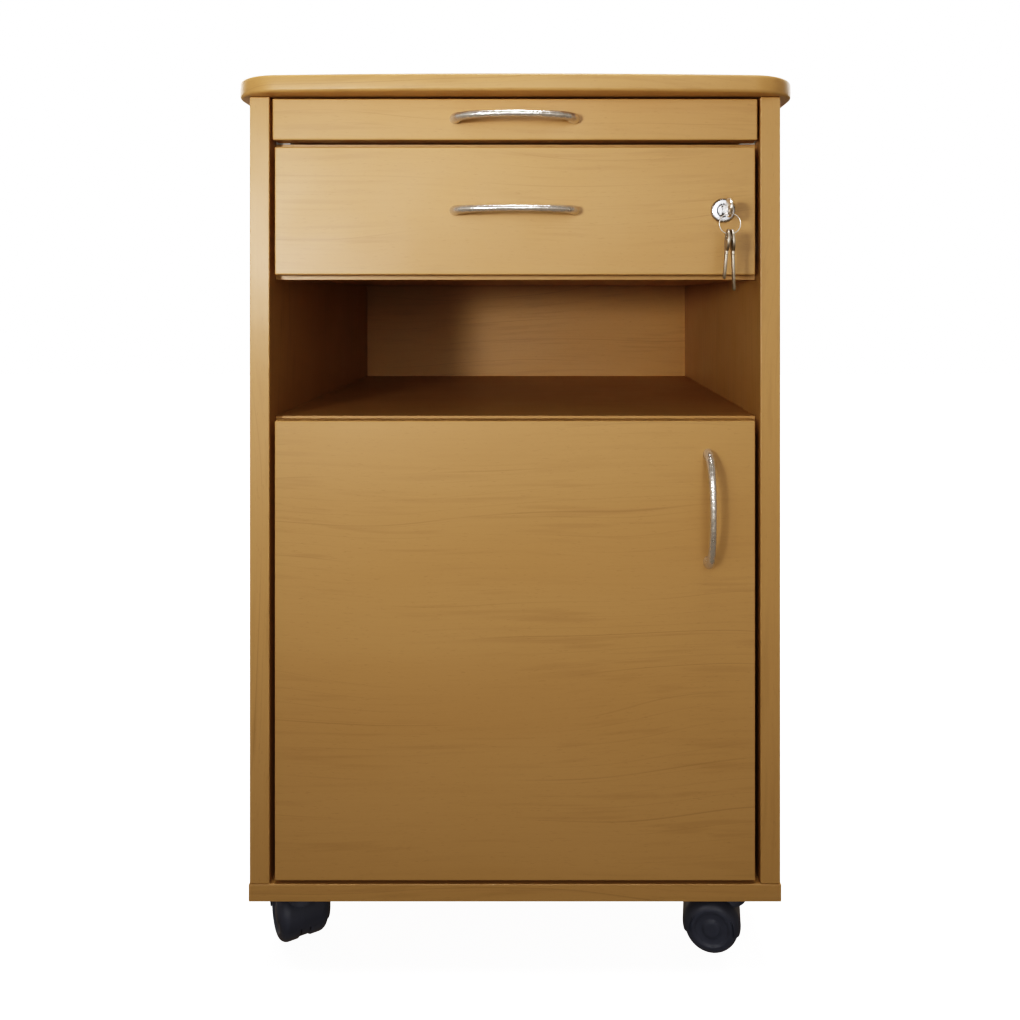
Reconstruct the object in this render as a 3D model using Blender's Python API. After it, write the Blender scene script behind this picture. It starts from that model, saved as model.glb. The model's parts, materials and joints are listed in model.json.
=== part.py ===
"""Bedside cabinet on four swivel casters.

A wooden carcass holds, from the top down, a shallow pull-out tray, a lockable
drawer on roller runners, an open niche and a cupboard with one hinged door.
Metres, +Z up, the front faces -Y, and the origin is on the floor under the
middle of the whole object.
"""

import math

import bmesh
import bpy
from mathutils import Matrix, Vector

# ---- driving dimensions -------------------------------------------------
WIDTH = 0.480  # over the two side panels
DEPTH = 0.450  # side panels, front edge to back edge
HEIGHT = 0.810  # floor to the upper face of the top
CASTER_HEIGHT = 0.066  # floor to the underside of the base
SIDE_BOARD = 0.018
SHELF_BOARD = 0.016
KEY_REACH = 0.040  # how far the key stands out in front of the side panels
FIT = 0.0003  # gap between pieces that touch

TOP_WIDTH = 0.510
TOP_OVERHANG = 0.018  # in front of the side panels, at the corners
TOP_BOW = 0.006  # extra overhang in the middle of the bowed front edge
TOP_CORNER = 0.045  # radius of the front corners
TOP_EDGE = 0.003  # rounding of the upper and lower edges

RECESS = 0.019  # shelf edges sit this far behind the front plane
FRONT_BOARD = 0.018  # thickness of the door and of the drawer and tray fronts
FRONT_EDGE = 0.0012  # their softened edges

TRAY_FRONT_LEVELS = (0.755, 0.7925)
RAIL_LEVELS = (0.742, 0.754)
DRAWER_FRONT_LEVELS = (0.633, 0.749)
DIVIDER_LEVELS = (0.629, 0.645)
NICHE_SHELF_LEVELS = (0.487, 0.503)
DOOR_LEVELS = (0.085, 0.501)
CUPBOARD_SHELF_LEVELS = (0.284, 0.300)

TRAY_FRONT_WIDTH = 0.439
DRAWER_FRONT_WIDTH = 0.435
DOOR_WIDTH = 0.435
DRAWER_BOX_LENGTH = 0.400  # behind the drawer's front
DRAWER_SIDE_GAP = 0.0125  # room for a runner on each side of the drawer box
DRAWER_BOARD = 0.012

# ---- derived places -----------------------------------------------------
FRONT = -(DEPTH - KEY_REACH) / 2  # Y of the side panels' front edges
BACK = FRONT + DEPTH
BASE_TOP = CASTER_HEIGHT + SHELF_BOARD
TOP_BOTTOM = HEIGHT - SHELF_BOARD
OUTSIDE = WIDTH / 2
INSIDE = OUTSIDE - SIDE_BOARD  # X of the side panels' inner faces
BACK_PANEL_THICKNESS = 0.006
BASE_PROUD = 0.001  # the base stands out this far beyond each side panel
BOARD_EDGE = 0.0008
CUPBOARD_SHELF_RECESS = 0.040
RAIL_DEPTH = 0.060
BACK_PANEL_FRONT = FRONT + 0.438
FRONT_BACK = FRONT + FRONT_BOARD  # Y of the rear face of door and fronts

LOCK_X = 0.188
LOCK_Z = sum(DRAWER_FRONT_LEVELS) / 2
DOOR_HANDLE_X = 0.1745
DOOR_HANDLE_Z = 0.422
HANDLE_LENGTH = 0.118
DOOR_HANDLE_LENGTH = 0.108
HANDLE_REACH = 0.030

# ---- door hinges ----------------------------------------------------------
# Everything is measured from the door's turning axis, which stands in the gap
# beside the door, level with its face.
HINGE_AXIS = Vector((-INSIDE + 0.0023, FRONT, 0.0))
HINGE_LEVELS = (DOOR_LEVELS[0] + 0.075, DOOR_LEVELS[1] - 0.075)
CUP_RADIUS = 0.020
CUP_WALL = 0.0008
CUP_CENTRE_X = -DOOR_WIDTH / 2 - HINGE_AXIS.x + 0.003 + CUP_RADIUS
CUP_FLOOR = 0.0065
CUP_RIM = 0.0172
LINK_PIVOT = Vector((0.0165, 0.0145, 0.0))
LINK_END = Vector((0.0400, 0.0095, 0.0))  # far end of the links, door shut
LINK_HALF_THICKNESS = 0.0012

# ---- casters --------------------------------------------------------------
CASTER_STEM_X = 0.2015
CASTER_FRONT_INSET = 0.041  # front stems behind the front plane
CASTER_REAR_INSET = 0.052  # rear stems before the back edge
CASTER_TRAIL = 0.016
WHEEL_RADIUS = 0.025
WHEEL_WIDTH = 0.0185
WHEEL_GAP = 0.009
CASTER_YAWS = {  # direction that the wheels trail in, degrees from +X
    "front_left": 120.0,
    "front_right": 170.0,
    "rear_left": -80.0,
    "rear_right": -120.0,
}

# ---- materials ------------------------------------------------------------
LOOKS = {  # colour, roughness, metallic
    "beech": ((0.62, 0.39, 0.17), 0.45, 0.0),
    "beech_inside": ((0.50, 0.28, 0.09), 0.55, 0.0),
    "ply": ((0.60, 0.44, 0.26), 0.6, 0.0),
    "chrome": ((0.80, 0.80, 0.80), 0.12, 1.0),
    "zinc": ((0.55, 0.56, 0.58), 0.35, 1.0),
    "brass": ((0.70, 0.52, 0.25), 0.3, 1.0),
    "white_steel": ((0.80, 0.80, 0.78), 0.4, 0.0),
    "caster_black": ((0.030, 0.033, 0.040), 0.4, 0.0),
    "tyre_black": ((0.020, 0.020, 0.022), 0.6, 0.0),
    "white_plastic": ((0.75, 0.75, 0.73), 0.4, 0.0),
}


def clear_scene():
    for thing in list(bpy.data.objects):
        bpy.data.objects.remove(thing, do_unlink=True)


def make_material(node, look):
    colour, roughness, metallic = LOOKS[look]
    material = bpy.data.materials.new(node)
    material.use_nodes = True
    shader = material.node_tree.nodes["Principled BSDF"]
    shader.inputs["Base Color"].default_value = (*colour, 1.0)
    shader.inputs["Roughness"].default_value = roughness
    shader.inputs["Metallic"].default_value = metallic
    material.diffuse_color = (*colour, 1.0)
    return material


def pivot(name, place, parent=None, yaw=0.0):
    """An empty on a joint's axis; the moving pieces hang under it."""
    empty = bpy.data.objects.new("pivot_" + name, None)
    empty.empty_display_size = 0.02
    empty.location = place
    empty.rotation_euler = (0.0, 0.0, yaw)
    empty.parent = parent
    bpy.context.collection.objects.link(empty)
    return empty


def finish(name, mesh, look, body=None, smooth=False):
    """Make the object for one piece.

    The shape is given in world coordinates, or in the pivot's own frame for a
    pivot that is turned (the casters).
    """
    bmesh.ops.recalc_face_normals(mesh, faces=mesh.faces)
    if body is None:
        places = [vertex.co for vertex in mesh.verts]
        low = Vector([min(p[i] for p in places) for i in range(3)])
        high = Vector([max(p[i] for p in places) for i in range(3)])
        origin = (low + high) / 2
    elif body.rotation_euler.z != 0.0 or body.parent is not None:
        origin = Vector((0.0, 0.0, 0.0))
    else:
        origin = body.location.copy()
    bmesh.ops.translate(mesh, vec=-origin, verts=mesh.verts)
    data = bpy.data.meshes.new(name)
    mesh.to_mesh(data)
    mesh.free()
    data.materials.append(make_material(name, look))
    piece = bpy.data.objects.new(name, data)
    bpy.context.collection.objects.link(piece)
    if body is None:
        piece.location = origin
    else:
        piece.parent = body
    if smooth:
        data.shade_smooth()
        data.set_sharp_from_angle(angle=math.radians(35))
    return piece


def add_box(mesh, low, high):
    middle = (Vector(low) + Vector(high)) / 2
    size = Vector(high) - Vector(low)
    place = Matrix.Translation(middle) @ Matrix.Diagonal((*size, 1.0))
    bmesh.ops.create_cube(mesh, size=1.0, matrix=place)


AXES = {  # maps an outline's (u, v) and the extrusion w to x, y, z
    "X": lambda u, v, w: (w, u, v),
    "Y": lambda u, v, w: (u, w, v),
    "Z": lambda u, v, w: (u, v, w),
}


def add_prism(mesh, outline, axis, low, high):
    """A prism from a closed outline, extruded along one axis."""
    place = AXES[axis]
    lower = [mesh.verts.new(place(u, v, low)) for u, v in outline]
    upper = [mesh.verts.new(place(u, v, high)) for u, v in outline]
    mesh.faces.new(lower)
    mesh.faces.new(upper)
    count = len(outline)
    for i in range(count):
        j = (i + 1) % count
        mesh.faces.new((lower[i], lower[j], upper[j], upper[i]))


def add_turned(mesh, profile, axis, centre, sides):
    """A closed turned solid; profile holds (radius, height along the axis)."""
    place = AXES[axis]
    rings = []
    for radius, height in profile:
        if radius == 0.0:
            rings.append([mesh.verts.new(Vector(centre) + Vector(place(0, 0, height)))])
            continue
        ring = []
        for i in range(sides):
            angle = 2 * math.pi * i / sides
            spot = place(radius * math.cos(angle), radius * math.sin(angle), height)
            ring.append(mesh.verts.new(Vector(centre) + Vector(spot)))
        rings.append(ring)
    closed = profile[0][0] != 0.0
    pairs = list(zip(rings, rings[1:]))
    if closed:
        pairs.append((rings[-1], rings[0]))
    for first, second in pairs:
        for i in range(sides):
            j = (i + 1) % sides
            if len(first) == 1:
                mesh.faces.new((first[0], second[i], second[j]))
            elif len(second) == 1:
                mesh.faces.new((first[i], first[j], second[0]))
            else:
                mesh.faces.new((first[i], first[j], second[j], second[i]))


def add_cylinder(mesh, axis, centre, radius, low, high, sides=12):
    profile = [(0.0, low), (radius, low), (radius, high), (0.0, high)]
    add_turned(mesh, profile, axis, centre, sides)


def add_sweep(mesh, path, sections):
    """A rod along a path; sections holds each point's side and up vectors."""
    sides = 10
    rings = []
    for point, (side, up) in zip(path, sections):
        ring = []
        for i in range(sides):
            angle = 2 * math.pi * i / sides
            ring.append(mesh.verts.new(point + side * math.cos(angle) + up * math.sin(angle)))
        rings.append(ring)
    for first, second in zip(rings, rings[1:]):
        for i in range(sides):
            j = (i + 1) % sides
            mesh.faces.new((first[i], first[j], second[j], second[i]))
    mesh.faces.new(rings[0])
    mesh.faces.new(rings[-1])


def arc(centre, radius, start, end, steps):
    """Points on an arc, angles in degrees, both ends included."""
    points = []
    for i in range(steps + 1):
        angle = math.radians(start + (end - start) * i / steps)
        x = centre[0] + radius * math.cos(angle)
        y = centre[1] + radius * math.sin(angle)
        points.append((x, y))
    return points


def soften(piece, width, segments=2):
    bevel = piece.modifiers.new("softened_edges", "BEVEL")
    bevel.width = width
    bevel.segments = segments
    bevel.limit_method = "ANGLE"
    bevel.angle_limit = math.radians(60)


def combine(piece, mesh, operation):
    """Boolean with a hidden helper shape, given in the piece's pivot frame."""
    bmesh.ops.recalc_face_normals(mesh, faces=mesh.faces)
    number = len(piece.modifiers)
    data = bpy.data.meshes.new(f"{piece.name}_helper_{number}")
    if piece.parent is None:
        origin = piece.location
    elif piece.parent.rotation_euler.z != 0.0 or piece.parent.parent is not None:
        origin = Vector((0.0, 0.0, 0.0))
    else:
        origin = piece.parent.location
    bmesh.ops.translate(mesh, vec=-origin, verts=mesh.verts)
    mesh.to_mesh(data)
    mesh.free()
    helper = bpy.data.objects.new(data.name, data)
    bpy.context.collection.objects.link(helper)
    helper.parent = piece.parent
    helper.location = piece.location
    helper.hide_render = True
    helper.display_type = "WIRE"
    boolean = piece.modifiers.new(f"{operation.lower()}_{number}", "BOOLEAN")
    boolean.operation = operation
    boolean.solver = "EXACT"
    boolean.object = helper


def drill(piece, axis, centre, radius, low, high, sides):
    """Cut one round bore along an axis."""
    mesh = bmesh.new()
    add_cylinder(mesh, axis, centre, radius, low, high, sides)
    combine(piece, mesh, "DIFFERENCE")


def board(name, low, high, look, body=None, edge=0.0):
    mesh = bmesh.new()
    add_box(mesh, low, high)
    piece = finish(name, mesh, look, body)
    if edge:
        soften(piece, edge)
    return piece


# ---- carcass ----------------------------------------------------------------
def top_outline():
    """Square at the back, round front corners joined by a bowed front edge."""
    half = TOP_WIDTH / 2
    corner_y = FRONT - TOP_OVERHANG + TOP_CORNER
    reach = half - TOP_CORNER
    outline = [(-half, BACK), (half, BACK)]
    outline += arc((reach, corner_y), TOP_CORNER, 0, -90, 8)[:-1]
    steps = 16
    for i in range(steps + 1):
        x = reach - 2 * reach * i / steps
        bow = TOP_BOW * (1 - (x / reach) ** 2)
        outline.append((x, FRONT - TOP_OVERHANG - bow))
    outline += arc((-reach, corner_y), TOP_CORNER, -90, -180, 8)[1:]
    return outline


def make_top():
    mesh = bmesh.new()
    add_prism(mesh, top_outline(), "Z", TOP_BOTTOM + FIT, HEIGHT)
    top = finish("top_panel", mesh, "beech", smooth=True)
    soften(top, TOP_EDGE)


def make_sides():
    for side, word in ((-1, "left"), (1, "right")):
        xs = sorted((side * INSIDE, side * OUTSIDE))
        low = (xs[0], FRONT, BASE_TOP + FIT)
        high = (xs[1], BACK, TOP_BOTTOM)
        board("side_panel_" + word, low, high, "beech", edge=BOARD_EDGE)


def make_shelf(name, levels, front, look):
    """A fixed shelf between the side panels, reaching back to the back panel."""
    half = INSIDE - FIT
    low = (-half, front, levels[0])
    high = (half, BACK_PANEL_FRONT - FIT, levels[1])
    board(name, low, high, look)


def make_boards():
    low = (-OUTSIDE - BASE_PROUD, FRONT, CASTER_HEIGHT)
    high = (OUTSIDE + BASE_PROUD, BACK, BASE_TOP)
    board("base_panel", low, high, "beech", edge=BOARD_EDGE)
    make_shelf("niche_shelf", NICHE_SHELF_LEVELS, FRONT + RECESS, "beech")
    make_shelf("drawer_divider", DIVIDER_LEVELS, FRONT + RECESS, "beech")
    shelf_front = FRONT + CUPBOARD_SHELF_RECESS
    make_shelf("cupboard_shelf", CUPBOARD_SHELF_LEVELS, shelf_front, "beech_inside")

    half = INSIDE - FIT
    low = (-half, FRONT + RECESS, RAIL_LEVELS[0])
    high = (half, FRONT + RECESS + RAIL_DEPTH, RAIL_LEVELS[1])
    rail = board("lock_rail", low, high, "beech")
    slot = bmesh.new()
    low = (LOCK_X - 0.008, FRONT + 0.0215, RAIL_LEVELS[0] - 0.001)
    add_box(slot, low, (LOCK_X + 0.008, FRONT + 0.0285, RAIL_LEVELS[0] + 0.008))
    combine(rail, slot, "DIFFERENCE")

    low = (-half, BACK_PANEL_FRONT, BASE_TOP + FIT)
    high = (half, BACK_PANEL_FRONT + BACK_PANEL_THICKNESS, TOP_BOTTOM)
    board("back_panel", low, high, "beech_inside")


# ---- tray ---------------------------------------------------------------------
TRAY_BOARD_LEVELS = (0.757, 0.769)
TRAY_HANDLE_Z = sum(TRAY_FRONT_LEVELS) / 2


def make_tray():
    body = pivot("tray", (0.0, FRONT, sum(TRAY_BOARD_LEVELS) / 2))
    half = TRAY_FRONT_WIDTH / 2
    low = (-half, FRONT, TRAY_FRONT_LEVELS[0])
    high = (half, FRONT_BACK, TRAY_FRONT_LEVELS[1])
    board("tray_front", low, high, "beech", body, FRONT_EDGE)
    low = (-half, FRONT_BACK + FIT, TRAY_BOARD_LEVELS[0])
    high = (half, FRONT_BACK + 0.400, TRAY_BOARD_LEVELS[1])
    board("tray_board", low, high, "ply", body)
    make_handle("tray_handle", body, (0.0, FRONT, TRAY_HANDLE_Z), HANDLE_LENGTH, upright=False)

    lower, upper = TRAY_BOARD_LEVELS[0] - 0.0005, TRAY_BOARD_LEVELS[1] + 0.0005
    for side, word in ((-1, "left"), (1, "right")):
        wall, web, lip = (side * (INSIDE - d) for d in (FIT, 0.0015, 0.0135))
        outline = [
            (wall, lower - 0.002),
            (lip, lower - 0.002),
            (lip, lower),
            (web, lower),
            (web, upper),
            (lip, upper),
            (lip, upper + 0.002),
            (wall, upper + 0.002),
        ]
        mesh = bmesh.new()
        add_prism(mesh, outline, "Y", FRONT + 0.020, FRONT + 0.420)
        finish("tray_guide_" + word, mesh, "white_plastic")


# ---- handles --------------------------------------------------------------------
HANDLE_FOOT_LENGTH = 0.011  # along the handle
HANDLE_FOOT_HEIGHT = 0.0088
HANDLE_WAIST = 0.0056  # section in the middle of the bow


def make_handle(name, body, centre, length, upright):
    """A bow of round rod, thick at its two feet and slim in the middle."""
    reach = (length - HANDLE_FOOT_LENGTH) / 2
    rise = HANDLE_REACH - HANDLE_WAIST / 2 - FIT
    steps = 24
    path, sections = [], []
    for i in range(steps + 1):
        angle = math.pi * i / steps
        along = -reach * math.cos(angle)
        out = rise * math.sin(angle) ** 0.85
        slope = Vector((reach * math.sin(angle), rise * math.cos(angle))).normalized()
        foot = 1 - math.sin(angle) ** 1.2
        wide = (HANDLE_WAIST + (HANDLE_FOOT_LENGTH - HANDLE_WAIST) * foot) / 2
        tall = (HANDLE_WAIST + (HANDLE_FOOT_HEIGHT - HANDLE_WAIST) * foot) / 2
        if i in (0, steps):
            slope = Vector((0.0, 1.0 if i == 0 else -1.0))
        across = Vector((slope.y, -slope.x))
        spot = Vector((along, -FIT - out, 0.0))
        side = Vector((across.x, -across.y, 0.0)) * wide
        path.append(spot)
        sections.append((side, Vector((0.0, 0.0, tall))))
    turn = Matrix.Rotation(math.pi / 2, 3, "Y") if upright else Matrix.Identity(3)
    path = [Vector(centre) + turn @ p for p in path]
    sections = [(turn @ side, turn @ up) for side, up in sections]
    mesh = bmesh.new()
    add_sweep(mesh, path, sections)
    finish(name, mesh, "chrome", body, smooth=True)


# ---- drawer -----------------------------------------------------------------------
BOX_OUTER = INSIDE - DRAWER_SIDE_GAP
BOX_INNER = BOX_OUTER - DRAWER_BOARD
BOX_LEVELS = (0.6548, 0.7400)
BOX_FLOOR_LEVELS = (0.6610, 0.6650)
BOX_FRONT = FRONT_BACK + FIT
BOX_BACK = BOX_FRONT + DRAWER_BOX_LENGTH
TRACK_FRONT = FRONT + 0.022
TRACK_LENGTH = 0.385
ROLLER_RADIUS = 0.006
ROLLER_Z = 0.6597
TRACK_ROLLER_Y = TRACK_FRONT + 0.010
DRAWER_ROLLER_Y = TRACK_FRONT + 0.370
ROLLER_XS = (BOX_OUTER + 0.0022, BOX_OUTER + 0.0098)
ROLLER_PIN_RADIUS = 0.0018


def make_drawer():
    body = pivot("drawer", (0.0, FRONT, LOCK_Z))
    half = DRAWER_FRONT_WIDTH / 2
    low = (-half, FRONT, DRAWER_FRONT_LEVELS[0])
    high = (half, FRONT_BACK, DRAWER_FRONT_LEVELS[1])
    front = board("drawer_front", low, high, "beech", body, FRONT_EDGE)
    ends = (FRONT - 0.001, FRONT_BACK + 0.001)
    drill(front, "Y", (LOCK_X, 0, LOCK_Z), BARREL_RADIUS + FIT, *ends, 16)

    for side, word in ((-1, "left"), (1, "right")):
        xs = sorted((side * BOX_INNER, side * BOX_OUTER))
        low = (xs[0], BOX_FRONT, BOX_LEVELS[0])
        high = (xs[1], BOX_BACK, BOX_LEVELS[1])
        board("drawer_side_" + word, low, high, "ply", body)
    inner = BOX_INNER - FIT
    low = (-inner, BOX_BACK - DRAWER_BOARD, BOX_LEVELS[0])
    high = (inner, BOX_BACK, BOX_LEVELS[1])
    board("drawer_back", low, high, "ply", body)
    low = (-inner, BOX_FRONT, BOX_FLOOR_LEVELS[0])
    high = (inner, BOX_BACK - DRAWER_BOARD - FIT, BOX_FLOOR_LEVELS[1])
    board("drawer_bottom", low, high, "ply", body)
    make_handle("drawer_handle", body, (0.0, FRONT, LOCK_Z), HANDLE_LENGTH, upright=False)
    make_runners(body)
    return body


def make_runners(drawer):
    """Roller runners: a channel on the cabinet, an angle under the drawer."""
    for side, word in ((-1, "left"), (1, "right")):
        make_track(side, word)
        make_drawer_runner(side, word, drawer)
    for name, y in (("track_roller", TRACK_ROLLER_Y), ("drawer_roller", DRAWER_ROLLER_Y)):
        place = Vector((0.0, y, ROLLER_Z))
        body = pivot(name, place)
        bore = ROLLER_PIN_RADIUS + FIT
        for side, word in ((-1, "left"), (1, "right")):
            mesh = bmesh.new()
            low, high = sorted(side * x for x in ROLLER_XS)
            profile = [(bore, low), (ROLLER_RADIUS, low), (ROLLER_RADIUS, high), (bore, high)]
            add_turned(mesh, profile, "X", place, 16)
            finish(f"{name}_{word}", mesh, "white_plastic", body, smooth=True)


def make_track(side, word):
    """C-channel on the side panel, with the front roller's pin."""
    wall, web = (side * (INSIDE - d) for d in (FIT, 0.0015))
    lip = side * (BOX_OUTER + 0.0018)
    floor_low, floor_top = 0.6520, ROLLER_Z - ROLLER_RADIUS - FIT
    roof_low, roof_top = 0.6740, 0.6754
    outline = [
        (wall, floor_low),
        (lip, floor_low),
        (lip, floor_top),
        (web, floor_top),
        (web, roof_low),
        (lip, roof_low),
        (lip, roof_top),
        (wall, roof_top),
    ]
    mesh = bmesh.new()
    add_prism(mesh, outline, "Y", TRACK_FRONT, TRACK_FRONT + TRACK_LENGTH)
    track = finish("drawer_track_" + word, mesh, "white_steel")
    pin = bmesh.new()
    ends = sorted((side * (INSIDE - 0.0008), side * (BOX_OUTER + 0.0016)))
    add_cylinder(pin, "X", (0, TRACK_ROLLER_Y, ROLLER_Z), ROLLER_PIN_RADIUS, *ends, 10)
    combine(track, pin, "UNION")


def make_drawer_runner(side, word, drawer):
    """Angle under the drawer side; its outer lip runs on the front roller."""
    inner = side * (BOX_OUTER - DRAWER_BOARD)
    web_in, web_out = (side * (BOX_OUTER + d) for d in (FIT, 0.0014))
    lip = side * (BOX_OUTER + 0.0090)
    shelf_low, shelf_top = 0.6533, BOX_LEVELS[0] - FIT
    lip_low = ROLLER_Z + ROLLER_RADIUS + FIT
    outline = [
        (inner, shelf_low),
        (web_out, shelf_low),
        (web_out, lip_low),
        (lip, lip_low),
        (lip, lip_low + 0.0012),
        (web_in, lip_low + 0.0012),
        (web_in, shelf_top),
        (inner, shelf_top),
    ]
    mesh = bmesh.new()
    add_prism(mesh, outline, "Y", BOX_FRONT + 0.003, DRAWER_ROLLER_Y + 0.010)
    runner = finish("drawer_runner_" + word, mesh, "white_steel", drawer)
    pin = bmesh.new()
    ends = sorted((side * (BOX_OUTER + 0.0008), side * (BOX_OUTER + 0.0098)))
    add_cylinder(pin, "X", (0, DRAWER_ROLLER_Y, ROLLER_Z), ROLLER_PIN_RADIUS, *ends, 10)
    combine(runner, pin, "UNION")


# ---- lock and keys ------------------------------------------------------------------
ROSETTE_RADIUS = 0.011
BARREL_RADIUS = 0.0080
PLUG_RADIUS = 0.0055
CASE_HALF = 0.0085
CASE_LEVELS = (0.676, 0.736)
CASE_DEPTHS = (0.0183, 0.0303)  # behind the front plane
BOLT_DEPTHS = (0.0235, 0.0265)
BOLT_HALF = 0.0065
CRANK_RADIUS = 0.0040
CRANK_ANGLE = math.radians(-45)  # of the crank pin while unlocked
CRANK_PIN_RADIUS = 0.0012
KEY_THICKNESS = 0.0022
RING_DEPTH = -0.031  # Y of the ring, from the front plane
RING_RADIUS = 0.0092
RING_WIRE = 0.0008
BOW_LENGTH = 0.0255
BOW_HEIGHT = 0.0170
BOW_HOLE_RADIUS = 0.0040
BOW_HOLE_Z = LOCK_Z - 0.0025
BOW_WEB_Z = LOCK_Z - 0.0073  # middle of the web that the ring hangs on
RING_TOP_Z = BOW_WEB_Z + 0.0023
RING_BOTTOM_Z = RING_TOP_Z - 2 * RING_RADIUS


def make_lock(drawer):
    mesh = bmesh.new()
    profile = [
        (PLUG_RADIUS + FIT, FRONT - 0.0033),
        (ROSETTE_RADIUS - 0.001, FRONT - 0.0033),
        (ROSETTE_RADIUS, FRONT - 0.0023),
        (ROSETTE_RADIUS, FRONT - FIT),
        (BARREL_RADIUS, FRONT - FIT),
        (BARREL_RADIUS, FRONT + CASE_DEPTHS[0] + 0.0008),
        (PLUG_RADIUS + FIT, FRONT + CASE_DEPTHS[0] + 0.0008),
    ]
    add_turned(mesh, profile, "Y", (LOCK_X, 0, LOCK_Z), 24)
    housing = finish("lock_housing", mesh, "zinc", drawer, smooth=True)
    case = bmesh.new()
    low = (LOCK_X - CASE_HALF, FRONT + CASE_DEPTHS[0], CASE_LEVELS[0])
    add_box(case, low, (LOCK_X + CASE_HALF, FRONT + CASE_DEPTHS[1], CASE_LEVELS[1]))
    combine(housing, case, "UNION")
    hollow = bmesh.new()
    wall = 0.0015
    low = (LOCK_X - CASE_HALF + wall, FRONT + CASE_DEPTHS[0] + wall, CASE_LEVELS[0] + wall)
    high = (LOCK_X + CASE_HALF - wall, FRONT + CASE_DEPTHS[1] - wall, CASE_LEVELS[1] + 0.001)
    add_box(hollow, low, high)
    combine(housing, hollow, "DIFFERENCE")
    ends = (FRONT - 0.005, FRONT + CASE_DEPTHS[0] + 0.003)
    drill(housing, "Y", (LOCK_X, 0, LOCK_Z), PLUG_RADIUS + FIT, *ends, 24)

    make_bolt()
    make_plug_and_key()
    make_ring_and_spares()


def make_bolt():
    body = pivot("lock_bolt", (LOCK_X, FRONT + sum(BOLT_DEPTHS) / 2, LOCK_Z))
    mesh = bmesh.new()
    low = (LOCK_X - BOLT_HALF, FRONT + BOLT_DEPTHS[0], CASE_LEVELS[0] + 0.003)
    add_box(mesh, low, (LOCK_X + BOLT_HALF, FRONT + BOLT_DEPTHS[1], RAIL_LEVELS[0] - 0.0025))
    bolt = finish("lock_bolt", mesh, "zinc", body)
    pin_z = LOCK_Z + CRANK_RADIUS * math.sin(CRANK_ANGLE)
    window = bmesh.new()
    low = (LOCK_X - 0.0055, FRONT + BOLT_DEPTHS[0] - 0.001, pin_z - 0.0018)
    add_box(window, low, (LOCK_X + 0.0055, FRONT + BOLT_DEPTHS[1] + 0.001, pin_z + 0.0018))
    combine(bolt, window, "DIFFERENCE")


def key_outline(bow_length, bow_height, blade_length, blade_height):
    """Side view of a key, bow centred on the origin, blade along +u."""
    a, b = bow_length / 2, bow_height / 2
    start = math.degrees(math.asin(blade_height / 2 / b))
    outline = []
    steps = 14
    for i in range(steps + 1):
        angle = math.radians(start + (360 - 2 * start) * i / steps)
        outline.append((a * math.cos(angle), b * math.sin(angle)))
    tip = a + blade_length
    half = blade_height / 2
    outline += [(tip - half, -half), (tip, 0.0), (tip - half, half)]
    return outline


def make_plug_and_key():
    place = Vector((LOCK_X, FRONT, LOCK_Z))
    body = pivot("lock_plug", place)
    mesh = bmesh.new()
    ends = (FRONT - 0.0037, FRONT + 0.0215)
    add_cylinder(mesh, "Y", (LOCK_X, 0, LOCK_Z), PLUG_RADIUS, *ends, 24)
    plug = finish("lock_plug", mesh, "zinc", body, smooth=True)
    crank = bmesh.new()
    pin_x = LOCK_X + CRANK_RADIUS * math.cos(CRANK_ANGLE)
    pin_z = LOCK_Z + CRANK_RADIUS * math.sin(CRANK_ANGLE)
    ends = (FRONT + 0.0200, FRONT + 0.0275)
    add_cylinder(crank, "Y", (pin_x, 0, pin_z), CRANK_PIN_RADIUS, *ends, 10)
    combine(plug, crank, "UNION")
    keyway = bmesh.new()
    low = (LOCK_X - 0.0014, FRONT - 0.005, LOCK_Z - 0.0042)
    add_box(keyway, low, (LOCK_X + 0.0014, FRONT + 0.0125, LOCK_Z + 0.0042))
    combine(plug, keyway, "DIFFERENCE")

    centre_y = FRONT - KEY_REACH + BOW_LENGTH / 2
    blade = FRONT + 0.0115 - centre_y - BOW_LENGTH / 2
    outline = key_outline(BOW_LENGTH, BOW_HEIGHT, blade, 0.0074)
    mesh = bmesh.new()
    points = [(centre_y + u, LOCK_Z + v) for u, v in outline]
    half = KEY_THICKNESS / 2
    add_prism(mesh, points, "X", LOCK_X - half, LOCK_X + half)
    key = finish("key_in_lock", mesh, "chrome", body)
    hole = (0, FRONT + RING_DEPTH, BOW_HOLE_Z)
    drill(key, "X", hole, BOW_HOLE_RADIUS, LOCK_X - 0.01, LOCK_X + 0.01, 12)


def make_ring_and_spares():
    web = Vector((LOCK_X, FRONT + RING_DEPTH, BOW_WEB_Z))
    bottom = Vector((LOCK_X, FRONT + RING_DEPTH, RING_BOTTOM_Z))
    ring_body = pivot("key_ring", web)
    mesh = bmesh.new()
    centre = (LOCK_X, FRONT + RING_DEPTH, RING_TOP_Z - RING_RADIUS)
    section = arc((RING_RADIUS, 0.0), RING_WIRE, 0, 315, 7)
    add_turned(mesh, section, "Y", centre, 24)
    finish("key_ring", mesh, "chrome", ring_body, smooth=True)

    body = pivot("spare_keys", bottom)
    for side, word, blade, lean in ((-1, "short", 0.0235, 5.0), (1, "long", 0.0335, 2.0)):
        make_spare_key("spare_key_" + word, body, side, blade, lean)


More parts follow.
